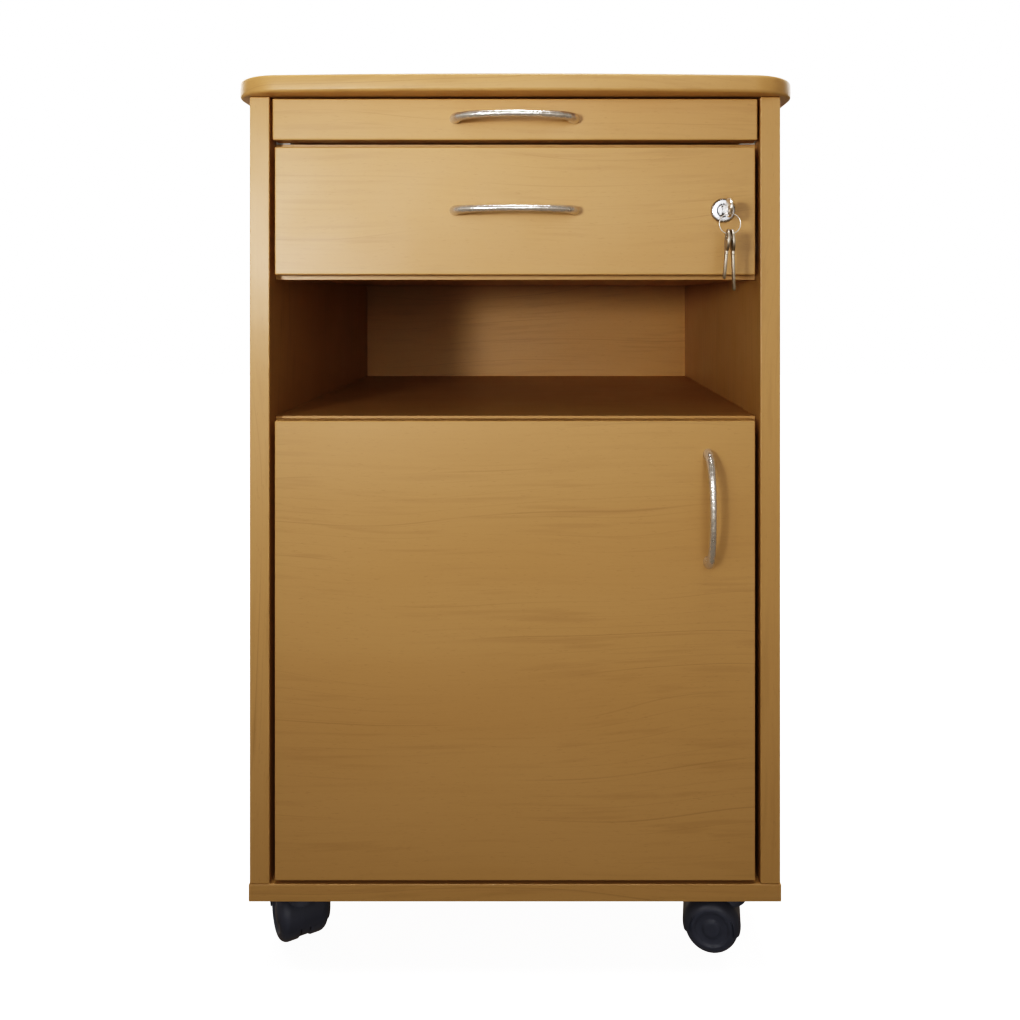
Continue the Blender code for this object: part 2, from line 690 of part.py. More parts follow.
def make_spare_key(name, body, side, blade, lean_angle):
    """A key that hangs from the ring, leaning outward from its neighbour."""
    bow_length, bow_height = 0.0200, 0.0165
    clearance = 0.0009
    hole_radius = 0.0035
    half = KEY_THICKNESS / 2
    y = FRONT + RING_DEPTH
    hole_z = RING_BOTTOM_Z + RING_WIRE + clearance - hole_radius
    hole_to_bow = bow_length / 2 - 0.0062
    hole = Vector((LOCK_X + side * 0.0019, y, hole_z))
    lean = Matrix.Rotation(math.radians(-lean_angle * side), 3, "Y")

    outline = key_outline(bow_length, bow_height, blade, 0.0070)
    points = [(y + v, hole_z - hole_to_bow - u) for u, v in outline]
    mesh = bmesh.new()
    add_prism(mesh, points, "X", hole.x - half, hole.x + half)
    bmesh.ops.rotate(mesh, cent=hole, matrix=lean, verts=mesh.verts)
    key = finish(name, mesh, "brass", body)
    bore = bmesh.new()
    add_cylinder(bore, "X", (0, y, hole_z), hole_radius, hole.x - 0.003, hole.x + 0.003, 12)
    bmesh.ops.rotate(bore, cent=hole, matrix=lean, verts=bore.verts)
    combine(key, bore, "DIFFERENCE")


# ---- door ---------------------------------------------------------------------------
CATCH_X = (0.186, 0.212)
CATCH_TOP = NICHE_SHELF_LEVELS[0] - FIT


def make_door():
    body = pivot("door", (HINGE_AXIS.x, HINGE_AXIS.y, sum(DOOR_LEVELS) / 2))
    half = DOOR_WIDTH / 2
    low = (-half, FRONT, DOOR_LEVELS[0])
    high = (half, FRONT_BACK, DOOR_LEVELS[1])
    door = board("door_panel", low, high, "beech", body, FRONT_EDGE)
    for level in HINGE_LEVELS:
        centre = (HINGE_AXIS.x + CUP_CENTRE_X, 0, level)
        ends = (FRONT + CUP_FLOOR - FIT, FRONT_BACK + 0.001)
        drill(door, "Y", centre, CUP_RADIUS + FIT, *ends, 24)

    place = (DOOR_HANDLE_X, FRONT, DOOR_HANDLE_Z)
    make_handle("door_handle", body, place, DOOR_HANDLE_LENGTH, upright=True)
    for level, word in zip(HINGE_LEVELS, ("lower", "upper")):
        make_hinge_cup("hinge_cup_" + word, body, level)

    low = (CATCH_X[0], FRONT_BACK + 0.0015, CATCH_TOP - 0.015)
    high = (CATCH_X[1], FRONT_BACK + 0.030, CATCH_TOP)
    board("door_catch", low, high, "white_plastic", edge=0.001)


def make_hinge_cup(name, body, level):
    """Drawn steel cup, sunk in the door, with a fixing tab above and below."""
    x = HINGE_AXIS.x + CUP_CENTRE_X
    inner = CUP_RADIUS - CUP_WALL
    profile = [
        (0.0, FRONT + CUP_FLOOR),
        (CUP_RADIUS, FRONT + CUP_FLOOR),
        (CUP_RADIUS, FRONT + CUP_RIM),
        (inner, FRONT + CUP_RIM),
        (inner, FRONT + CUP_FLOOR + CUP_WALL),
        (0.0, FRONT + CUP_FLOOR + CUP_WALL),
    ]
    mesh = bmesh.new()
    add_turned(mesh, profile, "Y", (x, 0, level), 24)
    cup = finish(name, mesh, "zinc", body, smooth=True)
    for way in (-1, 1):
        step = bmesh.new()
        zs = sorted((level + way * 0.0186, level + way * 0.0198))
        low = (x - 0.0035, FRONT + CUP_RIM - 0.001, zs[0])
        add_box(step, low, (x + 0.0035, FRONT_BACK + 0.0013, zs[1]))
        combine(cup, step, "UNION")
        tab = bmesh.new()
        zs = sorted((level + way * 0.0192, level + way * 0.0320))
        low = (x - 0.0055, FRONT_BACK + FIT, zs[0])
        add_box(tab, low, (x + 0.0055, FRONT_BACK + 0.0014, zs[1]))
        combine(cup, tab, "UNION")


def link_outline():
    """A flat bar with a hooked end, so that it clears the door's edge."""
    start, end = LINK_PIVOT, LINK_END
    along = (end - start).normalized()
    up = Vector((-along.y, along.x, 0.0))
    length = (end - start).length
    half = LINK_HALF_THICKNESS
    eye = 0.0021
    shape = [(0.0, -eye)]
    shape += [(-eye, 0.0), (0.0, eye), (0.0035, 0.0046), (length - 0.003, 0.0052)]
    shape += [(length + half * 0.6, 0.0040), (length + half, 0.0), (length, -half)]
    shape += [(length - half, 0.0), (length - 0.0040, 0.0030), (0.0050, 0.0022)]
    spots = []
    for u, v in shape:
        spot = HINGE_AXIS + start + along * u + up * v
        spots.append((spot.x, spot.y))
    return spots


def make_hinges():
    """Arms on the side panel, and the links that reach into the door's cups."""
    axis_x, axis_y = HINGE_AXIS.x, HINGE_AXIS.y
    pin_x, pin_y = axis_x + LINK_PIVOT.x, axis_y + LINK_PIVOT.y
    tip = [
        (pin_x + 0.0020, pin_y),
        (pin_x + 0.0020, axis_y + 0.027),
        (pin_x - 0.0020, axis_y + 0.027),
        (pin_x - 0.0020, pin_y),
    ]
    tip += arc((pin_x, pin_y), 0.0020, 180, 360, 6)[1:-1]
    crank = [
        (0.0145, 0.0240),
        (0.0185, 0.0240),
        (0.0185, 0.0350),
        (0.0100, 0.0520),
        (0.0100, 0.0900),
        (0.0060, 0.0900),
        (0.0060, 0.0500),
        (0.0145, 0.0330),
    ]
    crank = [(axis_x + u, axis_y + v) for u, v in crank]
    body = pivot("hinge_links", HINGE_AXIS + LINK_PIVOT + Vector((0, 0, sum(DOOR_LEVELS) / 2)))
    for level, word in zip(HINGE_LEVELS, ("lower", "upper")):
        mesh = bmesh.new()
        add_prism(mesh, crank, "Z", level - 0.0070, level + 0.0070)
        arm = finish("hinge_arm_" + word, mesh, "zinc")
        for way in (-1, 1):
            cheek = bmesh.new()
            zs = sorted((level + way * 0.0054, level + way * 0.0069))
            add_prism(cheek, tip, "Z", *zs)
            combine(arm, cheek, "UNION")
        pin = bmesh.new()
        add_cylinder(pin, "Z", (pin_x, pin_y, 0), 0.0009, level - 0.0064, level + 0.0064, 8)
        combine(arm, pin, "UNION")
        plate = bmesh.new()
        low = (axis_x - 0.0020, axis_y + 0.050, level - 0.0090)
        add_box(plate, low, (axis_x + 0.0064, axis_y + 0.092, level + 0.0090))
        combine(arm, plate, "UNION")
        wing = bmesh.new()
        low = (axis_x - 0.0020, axis_y + 0.057, level - 0.0240)
        add_box(wing, low, (axis_x + 0.0006, axis_y + 0.072, level + 0.0240))
        combine(arm, wing, "UNION")

        mesh = bmesh.new()
        add_prism(mesh, link_outline(), "Z", level - 0.0050, level + 0.0050)
        link = finish("hinge_link_" + word, mesh, "zinc", body)
        drill(link, "Z", (pin_x, pin_y, 0), 0.0013, level - 0.006, level + 0.006, 10)


# ---- casters ----------------------------------------------------------------------------
PLATE_HALF = 0.019
PLATE_LEVELS = (CASTER_HEIGHT - 0.0028, CASTER_HEIGHT - FIT)
HOOD_OUTER = 0.0278
HOOD_INNER = 0.0259
HOOD_HALF = WHEEL_GAP / 2 + WHEEL_WIDTH - 0.0008
NECK_HALF = 0.0100
NECK_TOP = 0.0605
STEM_RADIUS = 0.0050
AXLE_RADIUS = 0.0030


def caster_places():
    for word, yaw in CASTER_YAWS.items():
        end, side = word.split("_")
        x = CASTER_STEM_X if side == "right" else -CASTER_STEM_X
        y = FRONT + CASTER_FRONT_INSET if end == "front" else BACK - CASTER_REAR_INSET
        yield word, x, y, math.radians(yaw)


def make_caster_plate(word, x, y):
    """Mounting plate with its swivel stem."""
    mesh = bmesh.new()
    low = (x - PLATE_HALF, y - PLATE_HALF, PLATE_LEVELS[0])
    add_box(mesh, low, (x + PLATE_HALF, y + PLATE_HALF, PLATE_LEVELS[1]))
    plate = finish("caster_plate_" + word, mesh, "zinc")
    profile = [
        (0.0, 0.0530),
        (STEM_RADIUS, 0.0530),
        (STEM_RADIUS, NECK_TOP + 0.0005),
        (0.0095, NECK_TOP + 0.0005),
        (0.0095, PLATE_LEVELS[0] + 0.0010),
        (0.0, PLATE_LEVELS[0] + 0.0010),
    ]
    stem = bmesh.new()
    add_turned(stem, profile, "Z", (x, y, 0), 16)
    combine(plate, stem, "UNION")


def make_caster(word, x, y, yaw):
    """Hood and twin wheels, drawn with the wheels trailing along +X."""
    swivel = pivot("caster_" + word, (x, y, 0.0), yaw=yaw)
    centre = (CASTER_TRAIL, WHEEL_RADIUS)
    cover = arc(centre, HOOD_OUTER, -8, 188, 16) + arc(centre, HOOD_INNER, 188, -8, 16)
    mesh = bmesh.new()
    add_prism(mesh, cover, "Y", -HOOD_HALF, HOOD_HALF)
    hood = finish("caster_hood_" + word, mesh, "caster_black", swivel, smooth=True)

    web = bmesh.new()
    middle = (HOOD_OUTER + HOOD_INNER) / 2
    outline = arc(centre, middle, 5, 175, 12) + arc(centre, 0.011, 200, 340, 6)
    add_prism(web, outline, "Y", -WHEEL_GAP / 2 + 0.0008, WHEEL_GAP / 2 - 0.0008)
    combine(hood, web, "UNION")
    neck = bmesh.new()
    outline = arc(centre, middle, 103, 160, 5)
    outline += [(-NECK_HALF, NECK_TOP), (NECK_HALF, NECK_TOP)]
    add_prism(neck, outline, "Y", -NECK_HALF, NECK_HALF)
    combine(hood, neck, "UNION")
    axle = bmesh.new()
    spot = (CASTER_TRAIL, 0, WHEEL_RADIUS)
    add_cylinder(axle, "Y", spot, AXLE_RADIUS, -HOOD_HALF, HOOD_HALF, 12)
    combine(hood, axle, "UNION")
    drill(hood, "Z", (0, 0, 0), STEM_RADIUS + FIT, 0.0525, NECK_TOP + 0.001, 16)

    wheels = pivot("wheels_" + word, spot, parent=swivel)
    inner_face = WHEEL_GAP / 2
    outer_face = inner_face + WHEEL_WIDTH
    bore = AXLE_RADIUS + FIT
    profile = [
        (bore, inner_face),
        (WHEEL_RADIUS - 0.002, inner_face),
        (WHEEL_RADIUS, inner_face + 0.002),
        (WHEEL_RADIUS, outer_face - 0.003),
        (WHEEL_RADIUS - 0.003, outer_face),
        (WHEEL_RADIUS - 0.007, outer_face),
        (WHEEL_RADIUS - 0.008, outer_face - 0.002),
        (bore, outer_face - 0.0015),
    ]
    for side, letter in ((-1, "a"), (1, "b")):
        mesh = bmesh.new()
        turned = [(radius, side * height) for radius, height in profile]
        add_turned(mesh, turned, "Y", (0, 0, 0), 20)
        name = f"wheel_{word}_{letter}"
        finish(name, mesh, "tyre_black", wheels, smooth=True)


def main():
    clear_scene()
    make_top()
    make_sides()
    make_boards()
    make_tray()
    drawer = make_drawer()
    make_lock(drawer)
    make_door()
    make_hinges()
    for word, x, y, yaw in caster_places():
        make_caster_plate(word, x, y)
        make_caster(word, x, y, yaw)


main()
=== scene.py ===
"""The looks of the bedside cabinet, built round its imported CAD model.

Straight boards keep their CAD shapes and get wood facings. What is round, bent
or fine is made again here in more detail: the top, the handles, the lock with
its keys, the casters, the rollers and the hinge cups. The screws, the shelf
pins, the catch's steel plate and its magnet poles are made here only.
Metres, +Z up, in the CAD model's own frame; the front faces -Y.
"""

import json
import math

import bmesh
import bpy
from mathutils import Matrix, Vector


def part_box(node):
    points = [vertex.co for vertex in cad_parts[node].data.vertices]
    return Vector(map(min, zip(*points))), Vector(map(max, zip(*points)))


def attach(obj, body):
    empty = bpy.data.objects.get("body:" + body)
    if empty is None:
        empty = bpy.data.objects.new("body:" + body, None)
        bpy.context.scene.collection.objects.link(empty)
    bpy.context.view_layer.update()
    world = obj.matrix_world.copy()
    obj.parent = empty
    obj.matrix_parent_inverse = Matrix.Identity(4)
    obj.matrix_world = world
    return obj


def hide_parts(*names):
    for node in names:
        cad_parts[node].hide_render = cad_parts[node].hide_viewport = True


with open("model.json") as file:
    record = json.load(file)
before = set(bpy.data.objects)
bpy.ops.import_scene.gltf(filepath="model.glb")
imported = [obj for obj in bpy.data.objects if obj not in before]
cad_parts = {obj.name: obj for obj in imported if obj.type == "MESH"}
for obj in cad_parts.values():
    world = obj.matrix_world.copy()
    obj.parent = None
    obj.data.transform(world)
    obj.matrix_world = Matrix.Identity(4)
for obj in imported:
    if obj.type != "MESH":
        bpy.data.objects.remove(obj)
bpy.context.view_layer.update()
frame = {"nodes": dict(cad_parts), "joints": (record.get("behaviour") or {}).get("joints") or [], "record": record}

NODES = frame["nodes"]
JOINTS = {joint["name"]: joint for joint in frame["joints"]}

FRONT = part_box("side_panel_left")[0].y  # the front plane of the carcass
FRONT_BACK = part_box("door_panel")[1].y  # rear face of the door and the drawer's front
FIT = 0.0003  # gap between pieces that touch


# ---- shader helpers ---------------------------------------------------------
class Nodes:
    """A node tree, with short ways to add the usual nodes."""

    def __init__(self, tree):
        self.tree = tree

    def give(self, socket, value):
        """A number or colour, or another node's output, into a socket."""
        if isinstance(value, bpy.types.NodeSocket):
            self.tree.links.new(value, socket)
        elif isinstance(value, tuple) and socket.type == "RGBA":
            socket.default_value = (*value, 1.0)
        else:
            socket.default_value = value

    def stretched(self, vector, sizes, turn=(0.0, 0.0, 0.0), shift=(0.0, 0.0, 0.0)):
        node = self.tree.nodes.new("ShaderNodeMapping")
        self.give(node.inputs["Vector"], vector)
        node.inputs["Location"].default_value = shift
        node.inputs["Rotation"].default_value = turn
        node.inputs["Scale"].default_value = sizes
        return node.outputs["Vector"]

    def noise(self, vector, scale, detail=2.0, roughness=0.5):
        node = self.tree.nodes.new("ShaderNodeTexNoise")
        self.give(node.inputs["Vector"], vector)
        node.inputs["Scale"].default_value = scale
        node.inputs["Detail"].default_value = detail
        node.inputs["Roughness"].default_value = roughness
        return node.outputs["Fac"]

    def calc(self, operation, first, second=0.0):
        node = self.tree.nodes.new("ShaderNodeMath")
        node.operation = operation
        self.give(node.inputs[0], first)
        self.give(node.inputs[1], second)
        return node.outputs["Value"]

    def span(self, value, low, high, bottom=0.0, top=1.0):
        """value, moved from low..high to bottom..top and held within them."""
        node = self.tree.nodes.new("ShaderNodeMapRange")
        node.interpolation_type = "SMOOTHSTEP"
        for name, number in zip(
            ("Value", "From Min", "From Max", "To Min", "To Max"),
            (value, low, high, bottom, top),
        ):
            self.give(node.inputs[name], number)
        return node.outputs["Result"]

    def blend(self, factor, first, second):
        node = self.tree.nodes.new("ShaderNodeMix")
        node.data_type = "RGBA"
        self.give(node.inputs["Factor"], factor)
        self.give(node.inputs[6], first)
        self.give(node.inputs[7], second)
        return node.outputs[2]

    def split(self, vector):
        """The vector's three parts, as outputs named X, Y and Z."""
        node = self.tree.nodes.new("ShaderNodeSeparateXYZ")
        self.give(node.inputs[0], vector)
        return node.outputs

    def length(self, vector):
        node = self.tree.nodes.new("ShaderNodeVectorMath")
        node.operation = "LENGTH"
        self.give(node.inputs[0], vector)
        return node.outputs["Value"]


class Shader(Nodes):
    """A material with one Principled surface."""

    def __init__(self, name, roughness, metallic=0.0):
        self.material = bpy.data.materials.new(name)
        self.material.use_nodes = True
        super().__init__(self.material.node_tree)
        self.surface = self.tree.nodes["Principled BSDF"]
        self.set("Roughness", roughness)
        self.set("Metallic", metallic)
        self.place = self.tree.nodes.new("ShaderNodeTexCoord").outputs["Object"]

    def set(self, name, value):
        """A number or colour, or another node's output, on the surface."""
        self.give(self.surface.inputs[name], value)

    def bump(self, height, distance, strength=1.0):
        node = self.tree.nodes.new("ShaderNodeBump")
        self.give(node.inputs["Height"], height)
        node.inputs["Distance"].default_value = distance
        node.inputs["Strength"].default_value = strength
        self.set("Normal", node.outputs["Normal"])


# ---- wood ---------------------------------------------------------------------
GRAIN_TURNS = {  # brings the grain's direction onto the texture's X axis
    "X": (0.0, 0.0, 0.0),
    "Y": (0.0, 0.0, math.radians(-90)),
    "Z": (0.0, math.radians(90), 0.0),
}
# metres between lines, how far they wander, their width as a share of that, and strength
GROWTH_LINES = ((0.036, 2.6, 0.022, 1.0), (0.011, 7.0, 0.05, 0.40))


def wood(name, pale, dark, along, seed, roughness=0.46, coat=0.10):
    """Beech facing: slow shading, faint bent growth lines, fine fibres and flecks."""
    shader = Shader(name, roughness)
    lengthwise = shader.stretched(shader.place, (1.0, 1.0, 1.0), turn=GRAIN_TURNS[along])
    shift = (seed * 1.37, seed * 0.73, seed * 2.11)  # another stretch of grain for each seed
    moved = shader.stretched(lengthwise, (1.0, 1.0, 1.0), shift=shift)

    sway = shader.noise(shader.stretched(moved, (2.2, 3.0, 3.0)), 1.0, 1.0)
    lift = shader.calc("MULTIPLY", shader.calc("SUBTRACT", sway, 0.5), 0.06)
    combine = shader.tree.nodes.new("ShaderNodeCombineXYZ")
    shader.give(combine.inputs["Y"], lift)
    shader.give(combine.inputs["Z"], lift)
    add = shader.tree.nodes.new("ShaderNodeVectorMath")
    add.operation = "ADD"
    shader.give(add.inputs[0], moved)
    shader.give(add.inputs[1], combine.outputs["Vector"])
    bent = add.outputs["Vector"]

    broad = shader.noise(shader.stretched(bent, (1.4, 11.0, 11.0)), 1.0, 2.0)
    parts = shader.split(bent)
    across = shader.calc("ADD", shader.calc("MULTIPLY", parts["Y"], 0.8), parts["Z"])
    wander = shader.noise(shader.stretched(bent, (1.6, 7.0, 7.0)), 1.0, 2.0, 0.4)
    growth = None
    for spacing, stray, width, weight in GROWTH_LINES:
        count = shader.calc("DIVIDE", across, spacing)
        count = shader.calc("ADD", count, shader.calc("MULTIPLY", wander, stray))
        near = shader.calc("ABSOLUTE", shader.calc("SUBTRACT", shader.calc("FRACT", count), 0.5))
        lines = shader.calc("MULTIPLY", shader.span(near, 0.0, width, 1.0, 0.0), weight)
        growth = lines if growth is None else shader.calc("MAXIMUM", growth, lines)
    patch = shader.noise(shader.stretched(bent, (5.0, 16.0, 16.0), shift=(5, 5, 5)), 1.0, 2.0)
    line = shader.calc("MULTIPLY", growth, shader.span(patch, 0.40, 0.66))
    fibre = shader.noise(shader.stretched(bent, (7.0, 480.0, 480.0)), 1.0, 3.0, 0.6)
    fleck = shader.noise(shader.stretched(bent, (150.0, 1100.0, 1100.0)), 1.0, 1.0)
    fleck = shader.span(fleck, 0.62, 0.78)
    streak = shader.noise(shader.stretched(bent, (9.0, 170.0, 170.0), shift=(3, 1, 2)), 1.0, 2.0)
    streak = shader.calc("MULTIPLY", shader.span(streak, 0.50, 0.72), shader.span(patch, 0.30, 0.60))

    tone = shader.calc("MULTIPLY", shader.span(broad, 0.30, 0.70), 0.40)
    colour = shader.blend(tone, pale, dark)
    # how much of each mark is mixed in, and its share of the dark colour
    marks = ((line, 0.36, 0.60), (fibre, 0.20, 0.84), (streak, 0.24, 0.74), (fleck, 0.22, 0.68))
    for amount, share, depth in marks:
        shade = shader.calc("MULTIPLY", amount, share)
        colour = shader.blend(shade, colour, tuple(c * depth for c in dark))
    shader.set("Base Color", colour)

    worn = shader.noise(shader.place, 7.0, 4.0, 0.6)
    shader.set("Roughness", shader.span(worn, 0.3, 0.7, roughness - 0.05, roughness + 0.06))
    shader.set("Coat Weight", coat)
    shader.set("Coat Roughness", 0.30)
    shader.bump(shader.calc("SUBTRACT", 1.0, fibre), 0.00003, 0.35)
    return shader.material


BEECH_PALE = (0.545, 0.325, 0.125)
BEECH_DARK = (0.480, 0.270, 0.092)
INSIDE_PALE = (0.535, 0.310, 0.107)
INSIDE_DARK = (0.450, 0.247, 0.077)
PLY_PALE = (0.70, 0.54, 0.35)
PLY_DARK = (0.60, 0.43, 0.25)


def dress_boards():
    """Give every wooden CAD node its facing, each with its own stretch of grain."""
    beech = {
        "side_panel_left": "Z",
        "side_panel_right": "Z",
        "base_panel": "X",
        "niche_shelf": "X",
        "drawer_divider": "X",
        "lock_rail": "X",
        "tray_front": "X",
        "drawer_front": "X",
        "door_panel": "X",
    }
    inside = {"cupboard_shelf": "X", "back_panel": "X"}
    ply = {
        "tray_board": "X",
        "drawer_side_left": "Y",
        "drawer_side_right": "Y",
        "drawer_back": "X",
        "drawer_bottom": "Y",
    }
    seed = 1
    for names, pale, dark, rough, coat in (
        (beech, BEECH_PALE, BEECH_DARK, 0.46, 0.10),
        (inside, INSIDE_PALE, INSIDE_DARK, 0.50, 0.10),
        (ply, PLY_PALE, PLY_DARK, 0.55, 0.05),
    ):
        for name, along in names.items():
            material = wood(name + "_facing", pale, dark, along, seed, rough, coat)
            dress(NODES[name], material)
            seed += 1


def dress(piece, material):
    piece.data.materials.clear()
    piece.data.materials.append(material)


# ---- metals and plastics ------------------------------------------------------
def plated(name, colour, roughness, wave=0.0, scratch=0.25, metallic=1.0):
    """Plated metal: faint waves from casting, fine scratches and dull patches."""
    shader = Shader(name, roughness, metallic)
    dull = shader.noise(shader.place, 160.0, 4.0, 0.6)
    fine = shader.noise(shader.stretched(shader.place, (900.0, 900.0, 240.0)), 1.0, 3.0)
    patch = shader.span(dull, 0.45, 0.75)
    shader.set("Base Color", shader.blend(patch, colour, tuple(c * 0.86 for c in colour)))
    rough = shader.calc("MULTIPLY", fine, scratch * 0.35)
    rough = shader.calc("ADD", rough, shader.calc("MULTIPLY", patch, 0.06))
    shader.set("Roughness", shader.calc("ADD", rough, roughness))
    height = shader.calc("MULTIPLY", fine, 0.05)
    if wave:
        slow = shader.noise(shader.place, 210.0, 1.0)
        height = shader.calc("ADD", height, slow)
        shader.bump(height, wave)
    else:
        shader.bump(height, 0.00004)
    return shader.material


def moulded(name, colour, roughness, speck=0.10, dust=0.0):
    """Moulded plastic: a fine texture, and dust where it is turned upward."""
    shader = Shader(name, roughness)
    grain = shader.noise(shader.place, 2600.0, 2.0)
    cloud = shader.noise(shader.place, 70.0, 3.0, 0.6)
    tint = shader.span(cloud, 0.35, 0.7, 0.0, speck)
    pale = tuple(min(1.0, c * 1.6 + 0.02) for c in colour)
    shade = shader.blend(tint, colour, pale)
    if dust:
        normal = shader.tree.nodes.new("ShaderNodeNewGeometry").outputs["Normal"]
        up = shader.span(shader.split(normal)["Z"], 0.2, 1.0, 0.0, dust)
        up = shader.calc("MULTIPLY", up, shader.span(cloud, 0.35, 0.65))
        shade = shader.blend(up, shade, (0.20, 0.19, 0.17))
    shader.set("Base Color", shade)
    shader.set("Roughness", shader.span(cloud, 0.3, 0.7, roughness - 0.06, roughness + 0.08))
    shader.bump(grain, 0.00003, 0.6)
    return shader.material


def make_finishes():
    return {
        "chrome": plated("polished_chrome", (0.74, 0.72, 0.69), 0.17, wave=0.0007, metallic=0.78),
        "lock_metal": plated("lock_nickel", (0.58, 0.60, 0.64), 0.20),
        "key_steel": plated("key_nickel", (0.78, 0.76, 0.73), 0.22, scratch=0.6),
        # the spare keys' nickel is darker than that of the key in the lock: painted shade
        "key_brass": plated("key_nickel_painted_shade", (0.46, 0.42, 0.36), 0.34, scratch=0.6),
        "hinge_steel": plated("hinge_nickel", (0.62, 0.62, 0.61), 0.24),
        "caster_steel": plated("zinc_plate", (0.55, 0.56, 0.58), 0.34),
        "runner_steel": moulded("white_powder_coat", (0.78, 0.78, 0.75), 0.42),
        "white_plastic": moulded("white_nylon", (0.76, 0.76, 0.73), 0.45),
        "caster_hood": moulded("dark_nylon_hood", (0.066, 0.073, 0.100), 0.40, 0.10, 0.03),
        "caster_wheel": moulded("dark_nylon_wheel", (0.074, 0.082, 0.112), 0.42, 0.10, 0.02),
    }


FINISHES = make_finishes()


# ---- mesh helpers ---------------------------------------------------------------
SHARP = math.radians(38)  # an edge at least this sharp isn't shaded smooth


def piece(name, mesh, finish, body, replaces=(), material=None):
    """Turn a mesh, given in the CAD model's frame, into a piece that rides on a body."""
    bmesh.ops.recalc_face_normals(mesh, faces=mesh.faces)
    data = bpy.data.meshes.new(name)
    mesh.to_mesh(data)
    mesh.free()
    data.materials.append(material or FINISHES[finish])
    data.shade_smooth()
    data.set_sharp_from_angle(angle=SHARP)
    thing = bpy.data.objects.new(name, data)
    bpy.context.scene.collection.objects.link(thing)
    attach(thing, body)
    if replaces:
        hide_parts(*replaces)
    return thing


def basis(axis):
    """Two unit vectors square to an axis."""
    axis = Vector(axis).normalized()
    helper = Vector((0, 0, 1)) if abs(axis.z) < 0.9 else Vector((1, 0, 0))
    first = axis.cross(helper).normalized()
    return first, axis.cross(first)


def turned(mesh, profile, centre, axis, steps=48, closed=False):
    """Turn (radius, height) points round an axis; radius 0 closes an end."""
    axis = Vector(axis).normalized()
    first, second = basis(axis)
    rings = []
    for radius, height in profile:
        middle = Vector(centre) + axis * height
        if radius == 0.0:
            rings.append([mesh.verts.new(middle)])
            continue
        ring = []
        for i in range(steps):
            angle = 2 * math.pi * i / steps
            spoke = first * math.cos(angle) + second * math.sin(angle)
            ring.append(mesh.verts.new(middle + spoke * radius))
        rings.append(ring)
    pairs = list(zip(rings, rings[1:]))
    if closed:
        pairs.append((rings[-1], rings[0]))
    for lower, upper in pairs:
        for i in range(steps):
            j = (i + 1) % steps
            if len(lower) == 1:
                mesh.faces.new((lower[0], upper[j], upper[i]))
            elif len(upper) == 1:
                mesh.faces.new((lower[i], lower[j], upper[0]))
            else:
                mesh.faces.new((lower[i], lower[j], upper[j], upper[i]))


def upward(u, v, w):
    """For prism: an outline in X and Y, run along Z."""
    return (u, v, w)


def prism(mesh, outline, place, low, high):
    """An outline's (u, v) points, run from low to high; place gives x, y, z."""
    lower = [mesh.verts.new(place(u, v, low)) for u, v in outline]
    upper = [mesh.verts.new(place(u, v, high)) for u, v in outline]
    mesh.faces.new(lower)
    mesh.faces.new(upper)
    count = len(outline)
    for i in range(count):
        j = (i + 1) % count
        mesh.faces.new((lower[i], lower[j], upper[j], upper[i]))


def join_rings(mesh, rings):
    """Skin equal rings of vertices, and close both ends."""
    count = len(rings[0])
    for first, second in zip(rings, rings[1:]):
        for k in range(count):
            j = (k + 1) % count
            mesh.faces.new((first[k], first[j], second[j], second[k]))
    mesh.faces.new(rings[0])
    mesh.faces.new(rings[-1])


def block(mesh, low, high, bevel=0.0):
    """A box, with its edges rounded if a bevel is given.

    It is made apart and then added, which keeps its faces in one order on every run.
    """
    middle = (Vector(low) + Vector(high)) / 2
    size = Vector(high) - Vector(low)
    place = Matrix.Translation(middle) @ Matrix.Diagonal((*size, 1.0))
    box = bmesh.new()
    bmesh.ops.create_cube(box, size=1.0, matrix=place)
    if bevel:
        bmesh.ops.bevel(
            box, geom=list(box.edges), offset=bevel, segments=3, affect="EDGES", profile=0.5
        )
    data = bpy.data.meshes.new("block")
    box.to_mesh(data)
    box.free()
    mesh.from_mesh(data)
    bpy.data.meshes.remove(data)


def arc(centre, radius, start, end, steps):
    """Points on an arc, angles in degrees, both ends included."""
    points = []
    for i in range(steps + 1):
        angle = math.radians(start + (end - start) * i / steps)
        points.append((centre[0] + radius * math.cos(angle), centre[1] + radius * math.sin(angle)))
    return points


def round_edges(mesh, width, segments, angle=50.0):
    """Bevel every edge that is sharper than an angle."""
    bmesh.ops.recalc_face_normals(mesh, faces=mesh.faces)
    edges = [
        edge
        for edge in mesh.edges
        if len(edge.link_faces) == 2 and edge.calc_face_angle(0.0) > math.radians(angle)
    ]
    bmesh.ops.bevel(
        mesh, geom=edges, offset=width, segments=segments, affect="EDGES", profile=0.5,
        clamp_overlap=True,
    )


def cut(thing, helper_mesh):
    """Cut a helper shape out of a piece, and leave only the result."""
    bmesh.ops.recalc_face_normals(helper_mesh, faces=helper_mesh.faces)
    data = bpy.data.meshes.new("helper")
    helper_mesh.to_mesh(data)
    helper_mesh.free()
    helper = bpy.data.objects.new("helper", data)
    bpy.context.scene.collection.objects.link(helper)
    boolean = thing.modifiers.new("cut", "BOOLEAN")
    boolean.object = helper
    boolean.solver = "EXACT"
    bpy.context.view_layer.update()
    evaluated = thing.evaluated_get(bpy.context.evaluated_depsgraph_get())
    result = bpy.data.meshes.new_from_object(evaluated)
    thing.modifiers.clear()
    thing.data = result
    thing.data.shade_smooth()
    thing.data.set_sharp_from_angle(angle=SHARP)
    bpy.data.objects.remove(helper)


